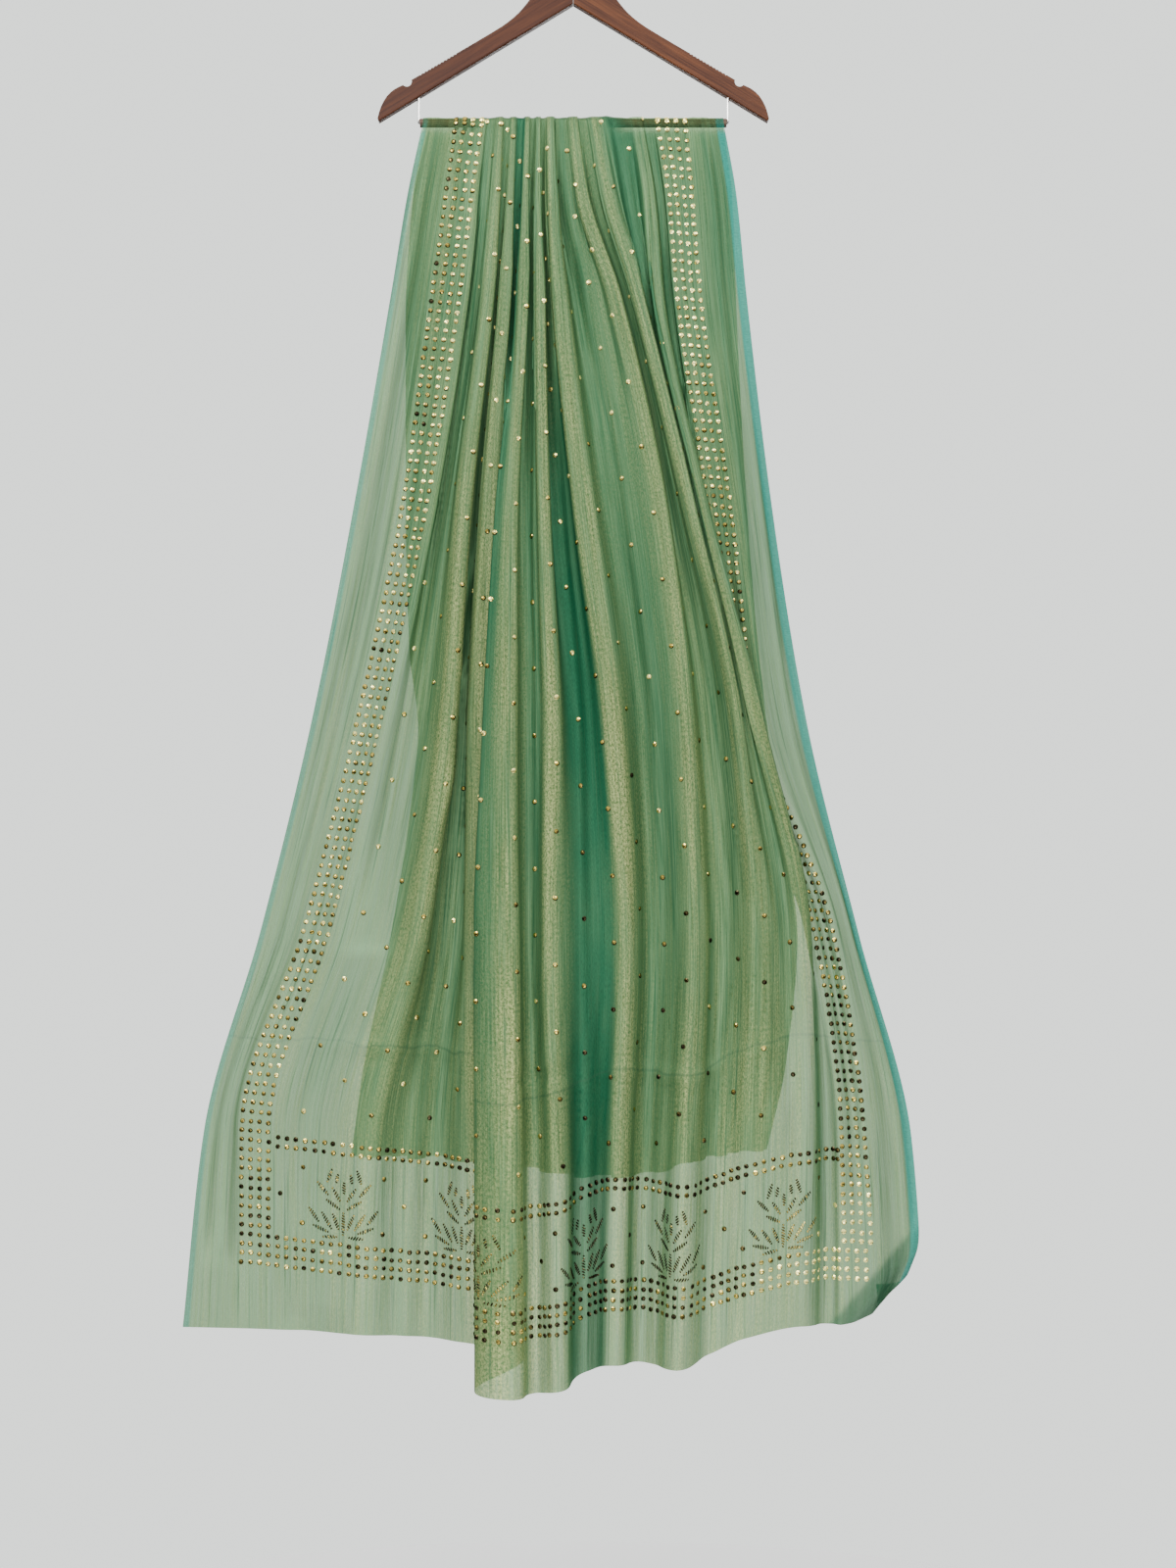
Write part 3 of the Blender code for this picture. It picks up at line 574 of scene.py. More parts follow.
def on_front(u, v):
    """Row and column places, in fractions, of a point v up from the front hem."""
    share, column = share_and_column(FRONT_FOLDS, u, v)
    return share * FRONT_ROWS, column


def on_back(u, v):
    """Row and column places, in fractions, of a point v up from the back hem."""
    share, column = share_and_column(BACK_FOLDS, u, v)
    return BACK_TOP_ROW + (1 - share) * BACK_ROWS, column


def read_grid(grid, row, column):
    """A grid's value between its points."""
    r = min(max(row, 0), grid.shape[0] - 1.001)
    c = min(max(column, 0), grid.shape[1] - 1.001)
    i, j = int(r), int(c)
    a, b = r - i, c - j
    return (
        grid[i, j] * (1 - a) * (1 - b)
        + grid[i + 1, j] * a * (1 - b)
        + grid[i, j + 1] * (1 - a) * b
        + grid[i + 1, j + 1] * a * b
    )


# Meshes


def new_piece(name, vertices, faces, material):
    """A mesh in the scene, riding on the one body, with its finish."""
    mesh = bpy.data.meshes.new(name)
    mesh.from_pydata(np.asarray(vertices, float).tolist(), [], faces)
    mesh.materials.append(material)
    mesh.shade_smooth()
    piece = bpy.data.objects.new(name, mesh)
    bpy.context.scene.collection.objects.link(piece)
    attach(piece, "root")
    return piece


def store_values(mesh, name, values):
    """Stores a number at each vertex under a name."""
    attribute = mesh.attributes.new(name, "FLOAT", "POINT")
    attribute.data.foreach_set("value", np.asarray(values, np.float32).ravel())


def make_cloth(material):
    """The whole cloth as one thin surface, with u and v as its UV map."""
    rows, columns = POINTS.shape[:2]
    faces = []
    for r in range(rows - 1):
        for c in range(columns - 1):
            a = r * columns + c
            faces.append((a, a + 1, a + columns + 1, a + columns))
    cloth = new_piece("dupatta_cloth", POINTS.reshape(-1, 3) * MM, faces, material)
    mesh = cloth.data
    if mesh.polygons[0].normal.y > 0:
        mesh.flip_normals()
    uv = np.stack([np.broadcast_to(COLUMNS, ALONG.shape), ALONG], axis=2).reshape(-1, 2) * MM
    layer = mesh.uv_layers.new(name="cloth")
    corner = np.empty(len(mesh.loops), np.int32)
    mesh.loops.foreach_get("vertex_index", corner)
    layer.data.foreach_set("uv", uv[corner].astype(np.float32).ravel())
    facing = np.hypot(OUTWARD[..., 1], OUTWARD[..., 2])
    store_values(mesh, "slope", 1 - facing)
    store_values(mesh, "layers", 1 / np.maximum(facing, LEAST_FACING))
    # The painted shade of the hollows and the painted golden sheen of the crests, for the tissue's colour
    store_values(mesh, "shade", LOOKS[:, 0])
    store_values(mesh, "gold", LOOKS[:, 1])
    over = np.abs(ALONG - ALONG[TOP_ROW : BACK_TOP_ROW + 1].mean(axis=0))
    single = np.interp(COLUMNS, THIN_ACROSS, (1, 0, 0, 1))
    store_values(mesh, "thin", np.clip((THIN_REACH - over) / THIN_FADE, 0, 1) * single)
    return cloth


def cap_profile(sides):
    """One foil dot of unit size: a rim, a shoulder ring and a crown, in its own plane. Gives its points
    and faces, and the painted shade that each point gets against the crown, on the side of its rim away
    from the light."""
    turn = np.arange(sides) * 2 * math.pi / sides
    ring = np.stack([np.cos(turn), np.sin(turn), np.zeros(sides)], axis=1)
    shoulder = ring * SHOULDER_REACH
    shoulder[:, 2] = SHOULDER_RISE
    vertices = np.concatenate([ring, shoulder, [CROWN]])
    faces = []
    for i in range(sides):
        j = (i + 1) % sides
        faces.append((i, j, sides + j, sides + i))
        faces.append((sides + i, sides + j, 2 * sides))
    shaded_side = RIM_SHADE * (0.5 - 0.5 * np.cos(turn - RIM_LIT_TURN))
    return vertices, faces, np.concatenate([shaded_side, np.zeros(sides + 1)])


def place_dots(name, places, material, sides, tilt):
    """Foil caps joined into one piece. A place is row, column, radius, stretch, turn in the cloth and
    tone, from 0 for dark to 1 for bright, as painted reflection and glints with random tone. tilt is the
    most that a cap leans, in degrees."""
    shape, shape_faces, painted_rim_shade = cap_profile(sides)
    vertices, faces, tones = [], [], []
    for row, column, radius, stretch, turn, tone in places:
        centre = read_grid(POINTS, row, column)
        normal = Vector(read_grid(OUTWARD, row, column)).normalized()
        down = Vector(read_grid(DOWN, row, column)).normalized()
        across = down.cross(normal).normalized()
        leaning = np.radians(tilt) * random.uniform(-1, 1, 2)
        normal = (normal + across * leaning[0] + down * leaning[1]).normalized()
        across = (across - normal * across.dot(normal)).normalized()
        down = normal.cross(across)
        long_way = across * math.cos(turn) + down * math.sin(turn)
        wide_way = normal.cross(long_way)
        rise = normal * DOT_RISE * radius / DOT_RADIUS
        axes = np.array([long_way * radius * stretch, wide_way * radius, rise])
        base = len(vertices) * len(shape)
        vertices.append(centre + np.array(normal) * FOIL_LIFT + shape @ axes)
        faces.extend(tuple(base + i for i in face) for face in shape_faces)
        tones.append(tone - painted_rim_shade)
    piece = new_piece(name, np.concatenate(vertices) * MM, faces, material)
    store_values(piece.data, "tone", np.concatenate(tones))
    piece.data.shade_flat()
    return piece


# Where the foil goes. Each function gives u and v, with v up from the nearer hem


def band_foot(u):
    """How far above the hem the lowest row of the end band lies."""
    return float(smooth_read(BAND_FOOT_U, BAND_FOOT_V, np.array([u]))[0])


def edge_dots(top):
    """The two side bands of four columns, from the hem's end band up to the foil's top."""
    for column in BAND_COLUMNS:
        foot = band_foot(column)
        for v in np.arange(foot + BAND_ROWS[-1] + ROW_PITCH, top, ROW_PITCH):
            yield column, v


def end_dots():
    """The end band of four rows and the double row above it."""
    for u in np.arange(BAND_COLUMNS[0], BAND_COLUMNS[-1] + 1, DOT_PITCH):
        foot = band_foot(u)
        for row in BAND_ROWS:
            yield u, foot + row
        if BAND_COLUMNS[3] < u < BAND_COLUMNS[4] - 1:
            for row in DOUBLE_ROWS:
                yield u, foot + row


def field_dots(top):
    """Single dots over the field in half-dropped rows."""
    row = 0
    v = BAND_FOOT_V[0] + DOUBLE_ROWS[-1] + FIELD_FOOT_CLEAR
    while v < top:
        first = FIELD_LEFT + (FIELD_ACROSS / 2 if row % 2 else 0)
        for u in np.arange(first, BAND_COLUMNS[4] - FIELD_RIGHT_CLEAR, FIELD_ACROSS):
            yield u, v
        row += 1
        v += FIELD_ALONG / 2


def spare_dots():
    """The five single dots between each two sprigs."""
    half = SPRIG_PITCH // 2
    for u in [SPRIG_U[0] - half] + [u + half for u in SPRIG_U]:
        for du, dv in SPARE_DOTS:
            if BAND_COLUMNS[3] + SPARE_CLEAR < u + du < BAND_COLUMNS[4] - SPARE_CLEAR:
                yield u + du, band_foot(u) + dv


def stroke(start, end):
    """Slanting dashes along one leaf or petal: du, dv, the way each one lies and its half length."""
    du, dv = end[0] - start[0], end[1] - start[1]
    count = max(4, round(math.hypot(du, dv) / DASH_PITCH))
    slant = math.atan2(dv, du) + DASH_SLANT * (1 if du >= 0 else -1)
    for i in range(count):
        t = (i + 0.5) / count
        yield start[0] + du * t, start[1] + dv * t, slant, DASH_ENDS + DASH_SWELL * math.sin(math.pi * t)


def sprig():
    """A sprig of a stem, five leaves fanned to each side of its foot and a cupped bloom."""
    yield from stroke(*SPRIG_STEM)
    yield from stroke(*SPRIG_HEART)
    for side in (-1, 1):
        for start, end in SPRIG_STROKES:
            yield from stroke((side * start[0], start[1]), (side * end[0], end[1]))


def foil_light_and_tone(u, v):
    """How bright the foil is at a place, as painted reflection and glints with random tone: brightest
    high up and in the right corner, darkest near the hem, and darker high up in the two outer columns
    of the left band."""
    high = float(np.interp(v, SHINE_HEIGHTS, SHINE_LEFT if u < CLOTH_WIDTH / 2 else SHINE_RIGHT))
    if u < DARKER_COLUMNS_END and v > DARKER_FROM:
        high -= DARKER_DROP
    corner = CORNER_GLINT * max(0.0, 1 - math.hypot(u - CLOTH_WIDTH, v) / CORNER_GLINT_REACH)
    drift = TONE_DRIFT * noise.noise(Vector((u / TONE_PATCH, v / TONE_PATCH, 0)))
    return min(max(high + corner + drift + random.normal(0, TONE_SPREAD), 0), 1)


def foil_places(on_cloth, top, way):
    """Places of the dots and of the sprigs' dashes on one fall, up to a height. way is 1 where the grid's
    rows run up the fall and -1 where they run down it."""
    dots = []
    for u, v in [*edge_dots(top), *end_dots(), *field_dots(top), *spare_dots()]:
        row, column = on_cloth(u + random.normal(0, DOT_JITTER), v + random.normal(0, DOT_JITTER))
        dots.append((row, column, DOT_RADIUS * random.uniform(*DOT_SIZES), 1.0, 0.0, foil_light_and_tone(u, v)))
    dashes = []
    for centre in SPRIG_U:
        foot = band_foot(centre) + SPRIG_FOOT
        for du, dv, angle, half in sprig():
            u, v = centre + du * SPRIG_SCALE, foot + dv * SPRIG_SCALE
            row, column = on_cloth(u, v)
            tone = foil_light_and_tone(u, v) * DASH_TONE
            dashes.append((row, column, DASH_RADIUS, half / DASH_RADIUS, way * angle, tone))
    return dots, dashes


# Materials


class Nodes:
    """Adds shader nodes to one material and links them."""

    def __init__(self, name):
        self.material = bpy.data.materials.new(name)
        self.material.use_nodes = True
        self.tree = self.material.node_tree
        self.tree.nodes.clear()
        self.output = self.add("ShaderNodeOutputMaterial")

    def add(self, kind, inputs=None, **settings):
        """A node with its settings, and its inputs as numbers or as links."""
        node = self.tree.nodes.new(kind)
        for key, value in settings.items():
            setattr(node, key, value)
        for key, value in (inputs or {}).items():
            if isinstance(value, bpy.types.NodeSocket):
                self.tree.links.new(value, node.inputs[key])
            else:
                node.inputs[key].default_value = value
        return node

    def maths(self, operation, a, b=0.0, clamp=False):
        """A sum, product or other operation on two numbers."""
        node = self.add("ShaderNodeMath", {0: a, 1: b}, operation=operation, use_clamp=clamp)
        return node.outputs[0]

    def mix(self, factor, a, b):
        """A colour between two colours."""
        node = self.add("ShaderNodeMix", data_type="RGBA")
        for index, value in ((0, factor), (6, a), (7, b)):
            if isinstance(value, bpy.types.NodeSocket):
                self.tree.links.new(value, node.inputs[index])
            else:
                node.inputs[index].default_value = value
        return node.outputs[2]

    def span(self, value, low, high, out_low=0.0, out_high=1.0):
        """A value moved from one span to another, and held to it."""
        inputs = {0: value, 1: low, 2: high, 3: out_low, 4: out_high}
        return self.add("ShaderNodeMapRange", inputs, clamp=True).outputs[0]

    def noise(self, vector, scale, detail, rough):
        """Soft noise at a scale."""
        inputs = {"Vector": vector, "Scale": scale, "Detail": detail, "Roughness": rough}
        return self.add("ShaderNodeTexNoise", inputs).outputs[0]

    def stretched(self, vector, scale):
        """A vector scaled apart along its axes."""
        return self.add("ShaderNodeMapping", {"Vector": vector, "Scale": scale}).outputs[0]

    def point_value(self, name):
        """A number stored at the mesh's vertices."""
        return self.add("ShaderNodeAttribute", attribute_name=name).outputs["Fac"]

    def place(self):
        """The place in the scene, in metres."""
        return self.add("ShaderNodeNewGeometry").outputs["Position"]

    def show(self, shader):
        """Makes a shader the material's surface."""
        self.tree.links.new(shader.outputs[0], self.output.inputs[0])


def rgb(red, green, blue):
    """A colour with full alpha."""
    return (red, green, blue, 1.0)


# Linear colours. Where a name holds two, the darker is first
PLAIN = rgb(0.050, 0.155, 0.066), rgb(0.152, 0.27, 0.121)
# The golden faces: dark and bright picked by a grain of painted glints, then a painted highlight
GOLD_GLINTS = rgb(0.075, 0.155, 0.045), rgb(0.32, 0.36, 0.125)
GOLD_HIGHLIGHT = rgb(0.60, 0.64, 0.27)
# Dark teal that the painted shade of hollows, slopes and the upper part leans towards
TEAL_SHADE = rgb(0.004, 0.062, 0.028), rgb(0.012, 0.12, 0.053)
# After the dark threads' own colour, the painted shade line along the packing crease
DARK_THREAD, CREASE_SHADE = rgb(0.03, 0.10, 0.045), rgb(0.025, 0.09, 0.045)
SELVEDGE = rgb(0.008, 0.17, 0.13), rgb(0.025, 0.28, 0.21)
SEEN_THROUGH_ONE, SEEN_THROUGH_MANY = rgb(0.66, 0.80, 0.58), rgb(0.24, 0.66, 0.42)
# Foil from dark through tan to bright, picked by its tone of painted reflection and glints
FOIL_DARK, FOIL_TAN, FOIL_BRIGHT = rgb(0.022, 0.018, 0.008), rgb(0.52, 0.40, 0.085), rgb(0.96, 0.88, 0.30)
FOIL_DULL = rgb(0.30, 0.24, 0.13)
WOOD_DARK, WOOD_PORES = rgb(0.035, 0.008, 0.0025), rgb(0.03, 0.008, 0.003)
# One stain on both arms: the right arm is painted lighter than the left, as painted light and shade
WOOD_LEFT_SHADED, WOOD_RIGHT_LIT = rgb(0.088, 0.025, 0.007), rgb(0.135, 0.042, 0.012)
SLEEVE = rgb(0.07, 0.042, 0.028), rgb(0.14, 0.085, 0.055)
WIRE = rgb(0.62, 0.61, 0.59), rgb(0.76, 0.75, 0.72)
FLOOR = rgb(0.74, 0.75, 0.74)

# Noises over the tissue: their scales across and along the cloth, detail and roughness. One gives the
# grain of painted glints on the golden faces, and band varies their painted sheen in broad stripes
Weave = namedtuple("Weave", "across along detail rough")
WEAVES = {
    "slub": Weave(700, 9, 4.0, 0.65),
    "band": Weave(70, 2.2, 3.0, 0.6),
    "fine": Weave(1800, 240, 2.0, 0.6),
    "weft": Weave(160, 1900, 2.0, 0.6),
    "glint_grain": Weave(560, 280, 4.0, 0.8),
    "cloud": Weave(16, 5, 3.0, 0.55),
    "threads": Weave(330, 4, 3.0, 0.7),
}

# The selvedges' strips, the painted shade line along the packing crease and the painted shade over the
# upper part, in metres over the cloth
LEFT_STRIP, LEFT_STRIP_COVER = (0.005, 0.008), 0.6
RIGHT_STRIP = CLOTH_WIDTH * MM - 0.0125, CLOTH_WIDTH * MM - 0.0095
CREASE_AT, CREASE_WIDTH, CREASE_COVER = (0.324, 0.333), (0.0006, 0.0022), 0.4
UPPER_SHADE_SPAN, UPPER_SHADE = (0.75, 1.3), 0.2

# How much painted shade a slope gives the cloth, and how much a dark thread covers it
SLOPE_SHADE, THREAD_COVER = 0.25, 0.62
# The share of the tissue that is open, from few slubs to many, what threads and shade leave of it, what
# selvedges take from it, and what the single layers over the bar add
OPEN_SHARE = 0.32, 0.1
THREAD_LEAVES, SHADE_LEAVES, SELVEDGE_TAKES, THIN_ADDS = 0.4, 0.35, 0.7, 0.62

# The arms' drop over their reach, which the wood's grain follows
ARM_DROP, ARM_REACH = 133.8, 221.5


def tissue_colour(n, weave, along, looks, selvedge):
    """Golden weft over a green warp and dark threads, with painted golden sheen, highlights and glints on
    the crests, painted shade towards dark teal in the hollows, on slopes and over the upper part, and a
    painted shade line along the packing crease. looks are the slope, the shade and the golden sheen that
    the mesh holds."""
    slope, shade, crest = looks
    # Painted shade: slopes, the hollows' shade and the upper part darken the colour towards dark teal
    side = n.maths("ADD", n.maths("MULTIPLY", slope, SLOPE_SHADE), shade)
    side = n.maths("ADD", side, n.span(along, *UPPER_SHADE_SPAN, 0.0, UPPER_SHADE))
    side = n.maths("ADD", side, n.span(weave["cloud"], 0.3, 0.7, -0.12, 0.16), clamp=True)
    # Painted sheen: the crests turn golden in patches and stripes, with painted glints and a painted
    # highlight
    patchy = n.maths("MULTIPLY", crest, n.span(weave["cloud"], 0.35, 0.62, 0.55, 1.15))
    golden = n.maths("ADD", patchy, n.span(weave["band"], 0.36, 0.64, -0.2, 0.24))
    golden = n.maths("ADD", golden, n.span(weave["threads"], 0.36, 0.6, 0.16, -0.16))
    gleam = n.maths("MULTIPLY", n.span(golden, 0.3, 1.2), n.span(weave["glint_grain"], 0.42, 0.7))
    gold = n.mix(n.span(weave["glint_grain"], 0.4, 0.64), *GOLD_GLINTS)
    gold = n.mix(gleam, gold, GOLD_HIGHLIGHT)
    plain = n.mix(n.span(weave["slub"], 0.38, 0.62), *PLAIN)
    face = n.mix(n.span(golden, 0.0, 1.0), plain, gold)
    colour = n.mix(side, face, n.mix(n.span(weave["fine"], 0.3, 0.7), *TEAL_SHADE))
    thread = n.span(weave["threads"], 0.56, 0.66)
    colour = n.mix(n.maths("MULTIPLY", thread, THREAD_COVER), colour, DARK_THREAD)
    # A painted shade line along the packing crease, wavering with the cloud noise
    crease_at = n.span(weave["cloud"], 0.3, 0.7, *CREASE_AT)
    off_crease = n.maths("ABSOLUTE", n.maths("SUBTRACT", along, crease_at))
    colour = n.mix(n.span(off_crease, *CREASE_WIDTH, CREASE_COVER, 0.0), colour, CREASE_SHADE)
    return n.mix(selvedge, colour, n.mix(n.span(weave["weft"], 0.35, 0.65), *SELVEDGE))


def tissue_cover(n, weave, shade, layers, selvedge):
    """How much the tissue hides: least where a single layer lies over the bar, and more where a slope
    shows more layers of it."""
    thread = n.span(weave["threads"], 0.56, 0.66)
    gaps = n.span(weave["slub"], 0.38, 0.62, *OPEN_SHARE)
    gaps = n.maths("MULTIPLY", gaps, n.span(thread, 0.0, 1.0, 1.0, THREAD_LEAVES))
    taken = n.maths("MULTIPLY", selvedge, SELVEDGE_TAKES)
    gaps = n.maths("MULTIPLY", gaps, n.maths("SUBTRACT", 1.0, taken))
    gaps = n.maths("MULTIPLY", gaps, n.span(shade, 0.0, 1.0, 1.0, SHADE_LEAVES))
    gaps = n.maths("ADD", gaps, n.maths("MULTIPLY", n.point_value("thin"), THIN_ADDS), clamp=True)
    return n.maths("SUBTRACT", 1.0, n.maths("POWER", gaps, layers), clamp=True)


def tissue_material():
    """Sheer shot tissue with slubs down the cloth and teal selvedges."""
    n = Nodes("tissue")
    uv = n.add("ShaderNodeUVMap", uv_map="cloth").outputs[0]
    across, along = n.add("ShaderNodeSeparateXYZ", {0: uv}).outputs[:2]
    weave = {
        name: n.noise(n.stretched(uv, (w.across, w.along, 1)), 1.0, w.detail, w.rough)
        for name, w in WEAVES.items()
    }
    shade, layers = n.point_value("shade"), n.point_value("layers")
    looks = n.point_value("slope"), shade, n.point_value("gold")
    left_strip = n.span(across, *LEFT_STRIP, LEFT_STRIP_COVER, 0.0)
    selvedge = n.maths("MAXIMUM", left_strip, n.span(across, *RIGHT_STRIP))

    fine, weft = n.maths("MULTIPLY", weave["fine"], 0.25), n.maths("MULTIPLY", weave["weft"], 0.25)
    height = n.maths("ADD", n.maths("MULTIPLY", weave["slub"], 0.7), n.maths("ADD", fine, weft))
    bump = n.add("ShaderNodeBump", {"Strength": 0.5, "Distance": 0.0009, "Height": height})
    tangent = n.add("ShaderNodeTangent", direction_type="UV_MAP", uv_map="cloth")
    surface = n.add(
        "ShaderNodeBsdfPrincipled",
        {
            "Base Color": tissue_colour(n, weave, along, looks, selvedge),
            "Metallic": 0.45,
            "Roughness": 0.42,
            "Specular IOR Level": 0.2,
            "Anisotropic": 0.6,
            "Anisotropic Rotation": 0.25,
            "Normal": bump.outputs[0],
            "Tangent": tangent.outputs[0],
        },
    )
    tint = n.mix(n.span(layers, 1.0, 3.0), SEEN_THROUGH_ONE, SEEN_THROUGH_MANY)
    clear = n.add("ShaderNodeBsdfTransparent", {0: tint})
    cover = tissue_cover(n, weave, shade, layers, selvedge)
    n.show(n.add("ShaderNodeMixShader", {0: cover, 1: clear.outputs[0], 2: surface.outputs[0]}))
    return n.material


def foil_material():
    """Foil caps from nearly black through tan to bright golden yellow, by their tone, which is painted
    reflection, painted glints and random tone.
    """
    n = Nodes("foil")
    tone = n.point_value("tone")
    dull = n.noise(n.place(), 900.0, 2.0, 0.6)
    colour = n.mix(n.span(tone, 0.25, 0.5), FOIL_DARK, FOIL_TAN)
    colour = n.mix(n.span(tone, 0.5, 0.8), colour, FOIL_BRIGHT)
    colour = n.mix(n.span(dull, 0.5, 0.8, 0.0, 0.35), colour, FOIL_DULL)
    rough = n.span(dull, 0.3, 0.7, 0.1, 0.24)
    bump = n.add("ShaderNodeBump", {"Strength": 0.25, "Distance": 0.0003, "Height": dull})
    surface = n.add(
        "ShaderNodeBsdfPrincipled",
        {
            "Base Color": colour,
            "Metallic": n.span(tone, 0.5, 0.85, 1.0, 0.75),
            "Roughness": rough,
            "Normal": bump.outputs[0],
        },
    )
    n.show(surface)
    return n.material


def wood_material(name, lean, dark, light):
    """Stained wood with straight grain that runs down the arm. lean is the arm's slope in radians."""
    n = Nodes(name)
    turned = n.add("ShaderNodeMapping", {"Vector": n.place(), "Rotation": (0.0, lean, 0.0)}).outputs[0]
    grain = n.noise(n.stretched(turned, (14, 90, 420)), 1.0, 4.0, 0.6)
    pores = n.noise(n.stretched(turned, (60, 500, 1500)), 1.0, 2.0, 0.6)
    colour = n.mix(n.span(grain, 0.3, 0.72), dark, light)
    colour = n.mix(n.span(pores, 0.55, 0.75, 0.0, 0.4), colour, WOOD_PORES)
    rough = n.span(grain, 0.3, 0.7, 0.4, 0.52)
    bump = n.add("ShaderNodeBump", {"Strength": 0.08, "Distance": 0.0003, "Height": grain})
    surface = n.add(
        "ShaderNodeBsdfPrincipled",
        {
            "Base Color": colour,
            "Roughness": rough,
            "Specular IOR Level": 0.25,
            "Coat Weight": 0.05,
            "Coat Roughness": 0.35,
            "Normal": bump.outputs[0],
        },
    )
    n.show(surface)
    return n.material


def wire_material():
    """Bright drawn wire with fine lines along it."""
    n = Nodes("wire")
    lines = n.noise(n.stretched(n.place(), (2500, 2500, 60)), 1.0, 2.0, 0.6)
    colour = n.mix(n.span(lines, 0.3, 0.7), *WIRE)
    rough = n.span(lines, 0.3, 0.7, 0.18, 0.32)
    surface = n.add("ShaderNodeBsdfPrincipled", {"Base Color": colour, "Metallic": 1.0, "Roughness": rough})
    n.show(surface)
    return n.material


def floor_material():
    """A plain matt surface, a little darker in soft patches."""
    n = Nodes("floor")
    tone = n.noise(n.place(), 3.0, 2.0, 0.5)
    colour = n.mix(n.span(tone, 0.3, 0.7), FLOOR, rgb(*(c * 0.97 for c in FLOOR[:3])))
    surface = n.add("ShaderNodeBsdfPrincipled", {"Base Color": colour, "Roughness": 0.7})
    n.show(surface)
    return n.material


# Camera, floor and light

# Places are in metres, the lens in millimetres and the lights' power in watts
CAMERA_AT = (0.0168, -2.4846, -1.0129)
CAMERA_LENS, SENSOR_WIDTH = 50.0, 36.0
FLOOR_CENTRE, FLOOR_HALF = (0, -0.1, -2.12), (1.1, 0.8)
FLOOR_SIDES = 96
# Two soft lights high in front, as in the photograph, one behind and a low fill
Light = namedtuple("Light", "name place target size power")
LIGHTS = (
    Light("key_left", (-1.3, -1.9, 0.9), (-0.1, 0, -0.9), 1.0, 56),
    Light("key_right", (1.3, -1.9, 0.9), (0.1, 0, -0.9), 1.0, 40),
    Light("back", (0.2, 2.0, 0.2), (0, 0, -0.9), 1.4, 46),
    Light("fill_low", (0.0, -2.6, -1.9), (0, 0, -1.45), 1.2, 32),
)
# The backdrop as the camera sees it, and as it lights: from dim below to bright above, by the height of
# the direction that light comes from
WORLD_SHOWN = rgb(1.52, 1.58, 1.53)
LIT_LOW, LIT_HIGH = -0.25, 0.3
LIT_DIM, LIT_BRIGHT = 0.03, 1.5


def make_camera():
    """Level camera at the photograph's distance and height, square on to the front fall."""
    data = bpy.data.cameras.new("camera")
    data.lens = CAMERA_LENS
    data.sensor_width = SENSOR_WIDTH
    camera = bpy.data.objects.new("camera", data)
    camera.location = CAMERA_AT
    camera.rotation_euler = (math.pi / 2, 0, 0)
    bpy.context.scene.collection.objects.link(camera)
    bpy.context.scene.camera = camera


def make_floor():
    """A plain pale round floor well below the hem."""
    turn = np.arange(FLOOR_SIDES) * 2 * math.pi / FLOOR_SIDES
    x = np.cos(turn) * FLOOR_HALF[0] + FLOOR_CENTRE[0]
    y = np.sin(turn) * FLOOR_HALF[1] + FLOOR_CENTRE[1]
    ring = np.stack([x, y, np.full(FLOOR_SIDES, FLOOR_CENTRE[2])], axis=1)
    mesh = bpy.data.meshes.new("floor")
    mesh.from_pydata(ring.tolist(), [], [tuple(range(FLOOR_SIDES))])
    mesh.materials.append(floor_material())
    floor = bpy.data.objects.new("floor", mesh)
    bpy.context.scene.collection.objects.link(floor)


def area_light(light):
    """A soft square light aimed at a point."""
    data = bpy.data.lights.new(light.name, "AREA")
    data.size = light.size
    data.energy = light.power
    lamp = bpy.data.objects.new(light.name, data)
    lamp.location = light.place
    lamp.rotation_euler = (Vector(light.target) - Vector(light.place)).to_track_quat("-Z", "Y").to_euler()
    bpy.context.scene.collection.objects.link(lamp)


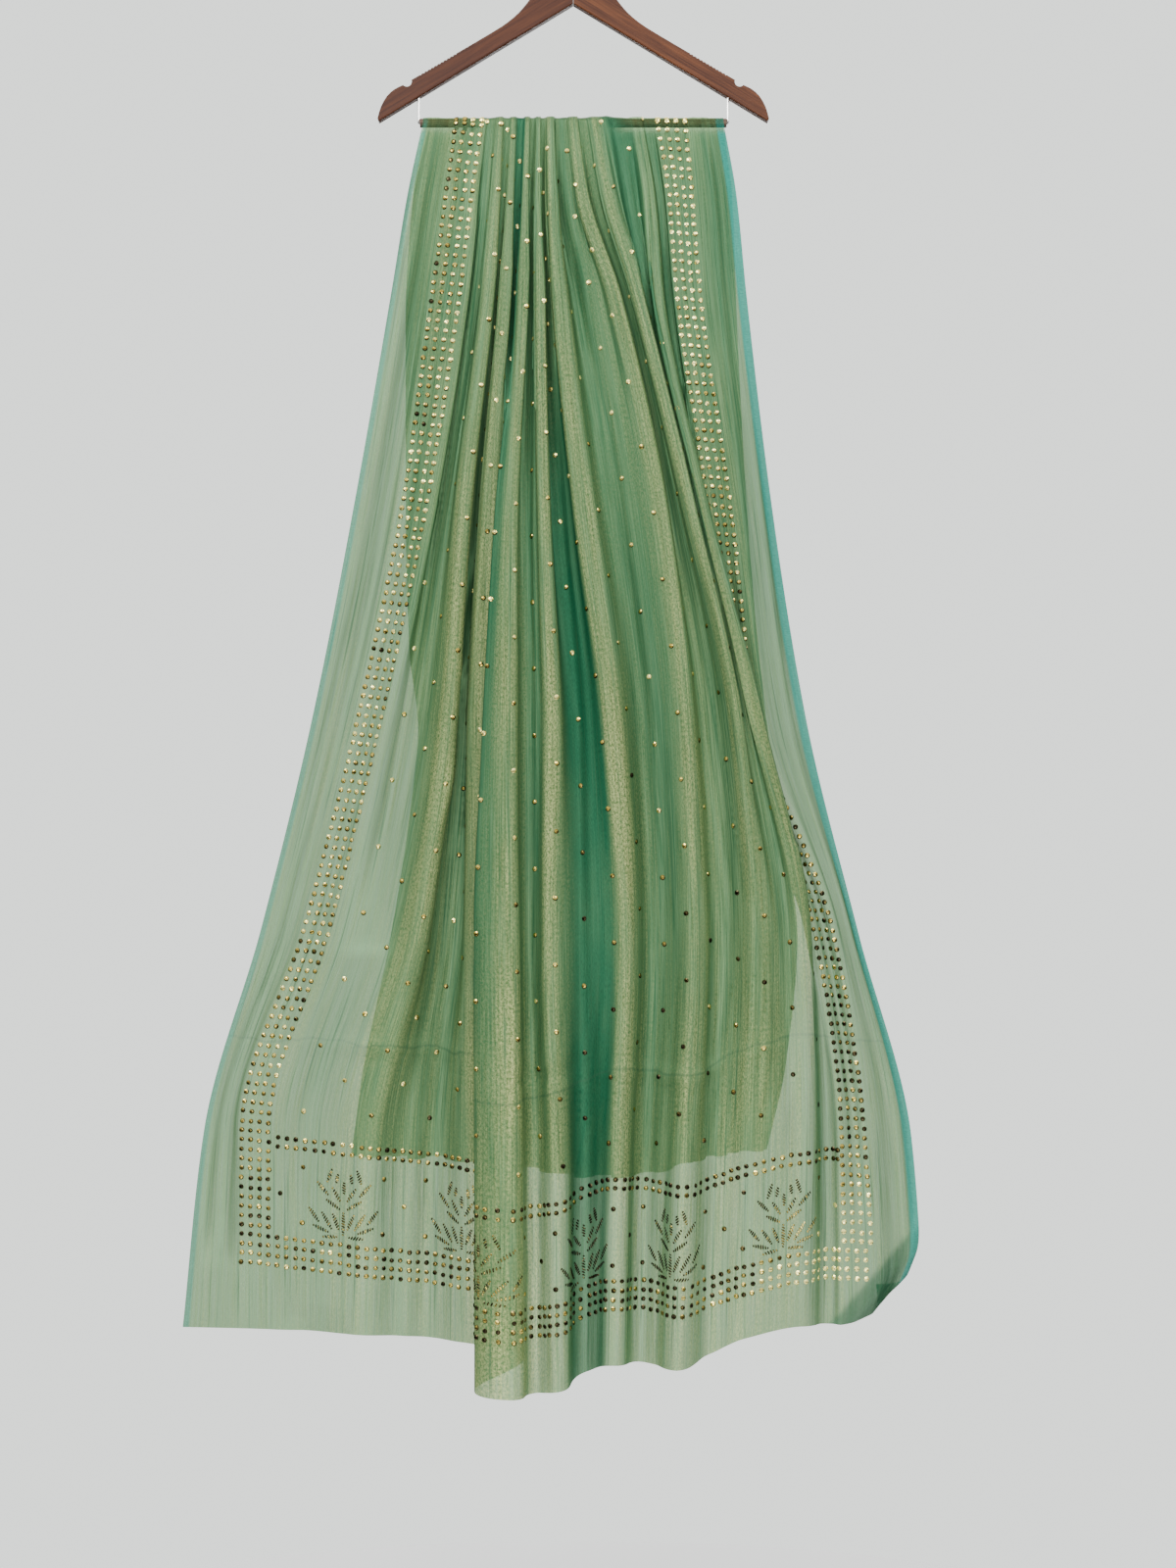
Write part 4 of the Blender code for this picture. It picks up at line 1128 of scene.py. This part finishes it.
def make_world():
    """A pale studio round the object, dimmer below for the foil to mirror."""
    world = bpy.data.worlds.new("studio")
    bpy.context.scene.world = world
    world.use_nodes = True
    tree = world.node_tree
    tree.nodes.clear()
    output = tree.nodes.new("ShaderNodeOutputWorld")
    shown = tree.nodes.new("ShaderNodeBackground")
    shown.inputs[0].default_value = WORLD_SHOWN
    shown.inputs[1].default_value = 1.0
    lit = tree.nodes.new("ShaderNodeBackground")
    lit.inputs[1].default_value = 1.0
    coordinates = tree.nodes.new("ShaderNodeTexCoord")
    split = tree.nodes.new("ShaderNodeSeparateXYZ")
    tree.links.new(coordinates.outputs["Generated"], split.inputs[0])
    ramp = tree.nodes.new("ShaderNodeMapRange")
    for index, value in enumerate((LIT_LOW, LIT_HIGH, LIT_DIM, LIT_BRIGHT), start=1):
        ramp.inputs[index].default_value = value
    tree.links.new(split.outputs[2], ramp.inputs[0])
    tree.links.new(ramp.outputs[0], lit.inputs[0])
    path = tree.nodes.new("ShaderNodeLightPath")
    mix = tree.nodes.new("ShaderNodeMixShader")
    tree.links.new(path.outputs["Is Camera Ray"], mix.inputs[0])
    tree.links.new(lit.outputs[0], mix.inputs[1])
    tree.links.new(shown.outputs[0], mix.inputs[2])
    tree.links.new(mix.outputs[0], output.inputs[0])


# Build

make_camera()
make_floor()
make_world()
for light in LIGHTS:
    area_light(light)

tissue = tissue_material()
foil = foil_material()
cloth = make_cloth(tissue)
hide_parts("front_fall", "bar_turn", "back_fall")
for fall, on_cloth, top, way in (
    ("front", on_front, FRONT_FOIL_TOP, 1),
    ("back", on_back, BACK_FOIL_TOP, -1),
):
    dots, dashes = foil_places(on_cloth, top, way)
    place_dots(f"{fall}_foil_dots", dots, foil, DOT_SIDES, DOT_TILT)
    place_dots(f"{fall}_foil_sprigs", dashes, foil, DASH_SIDES, DASH_TILT)

arm_lean = math.atan2(ARM_DROP, ARM_REACH)
wood_left_shaded = wood_material("wood_left_shaded", arm_lean, WOOD_DARK, WOOD_LEFT_SHADED)
wood_right_lit = wood_material("wood_right_lit", -arm_lean, WOOD_DARK, WOOD_RIGHT_LIT)
wire = wire_material()
sleeve = wood_material("bar_sleeve", 0.0, *SLEEVE)
for node, material, slot in (
    ("hanger_arm_left", wood_left_shaded, "stained_wood"),
    ("hanger_arm_right", wood_right_lit, "stained_wood"),
    ("bar_wire_left", wire, "bright_wire"),
    ("bar_wire_right", wire, "bright_wire"),
    ("hook", wire, "bright_wire"),
    ("bar_tube", sleeve, "brown_bar"),
):
    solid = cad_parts[node]
    solid.data.materials.clear()
    solid.data.materials.append(material)
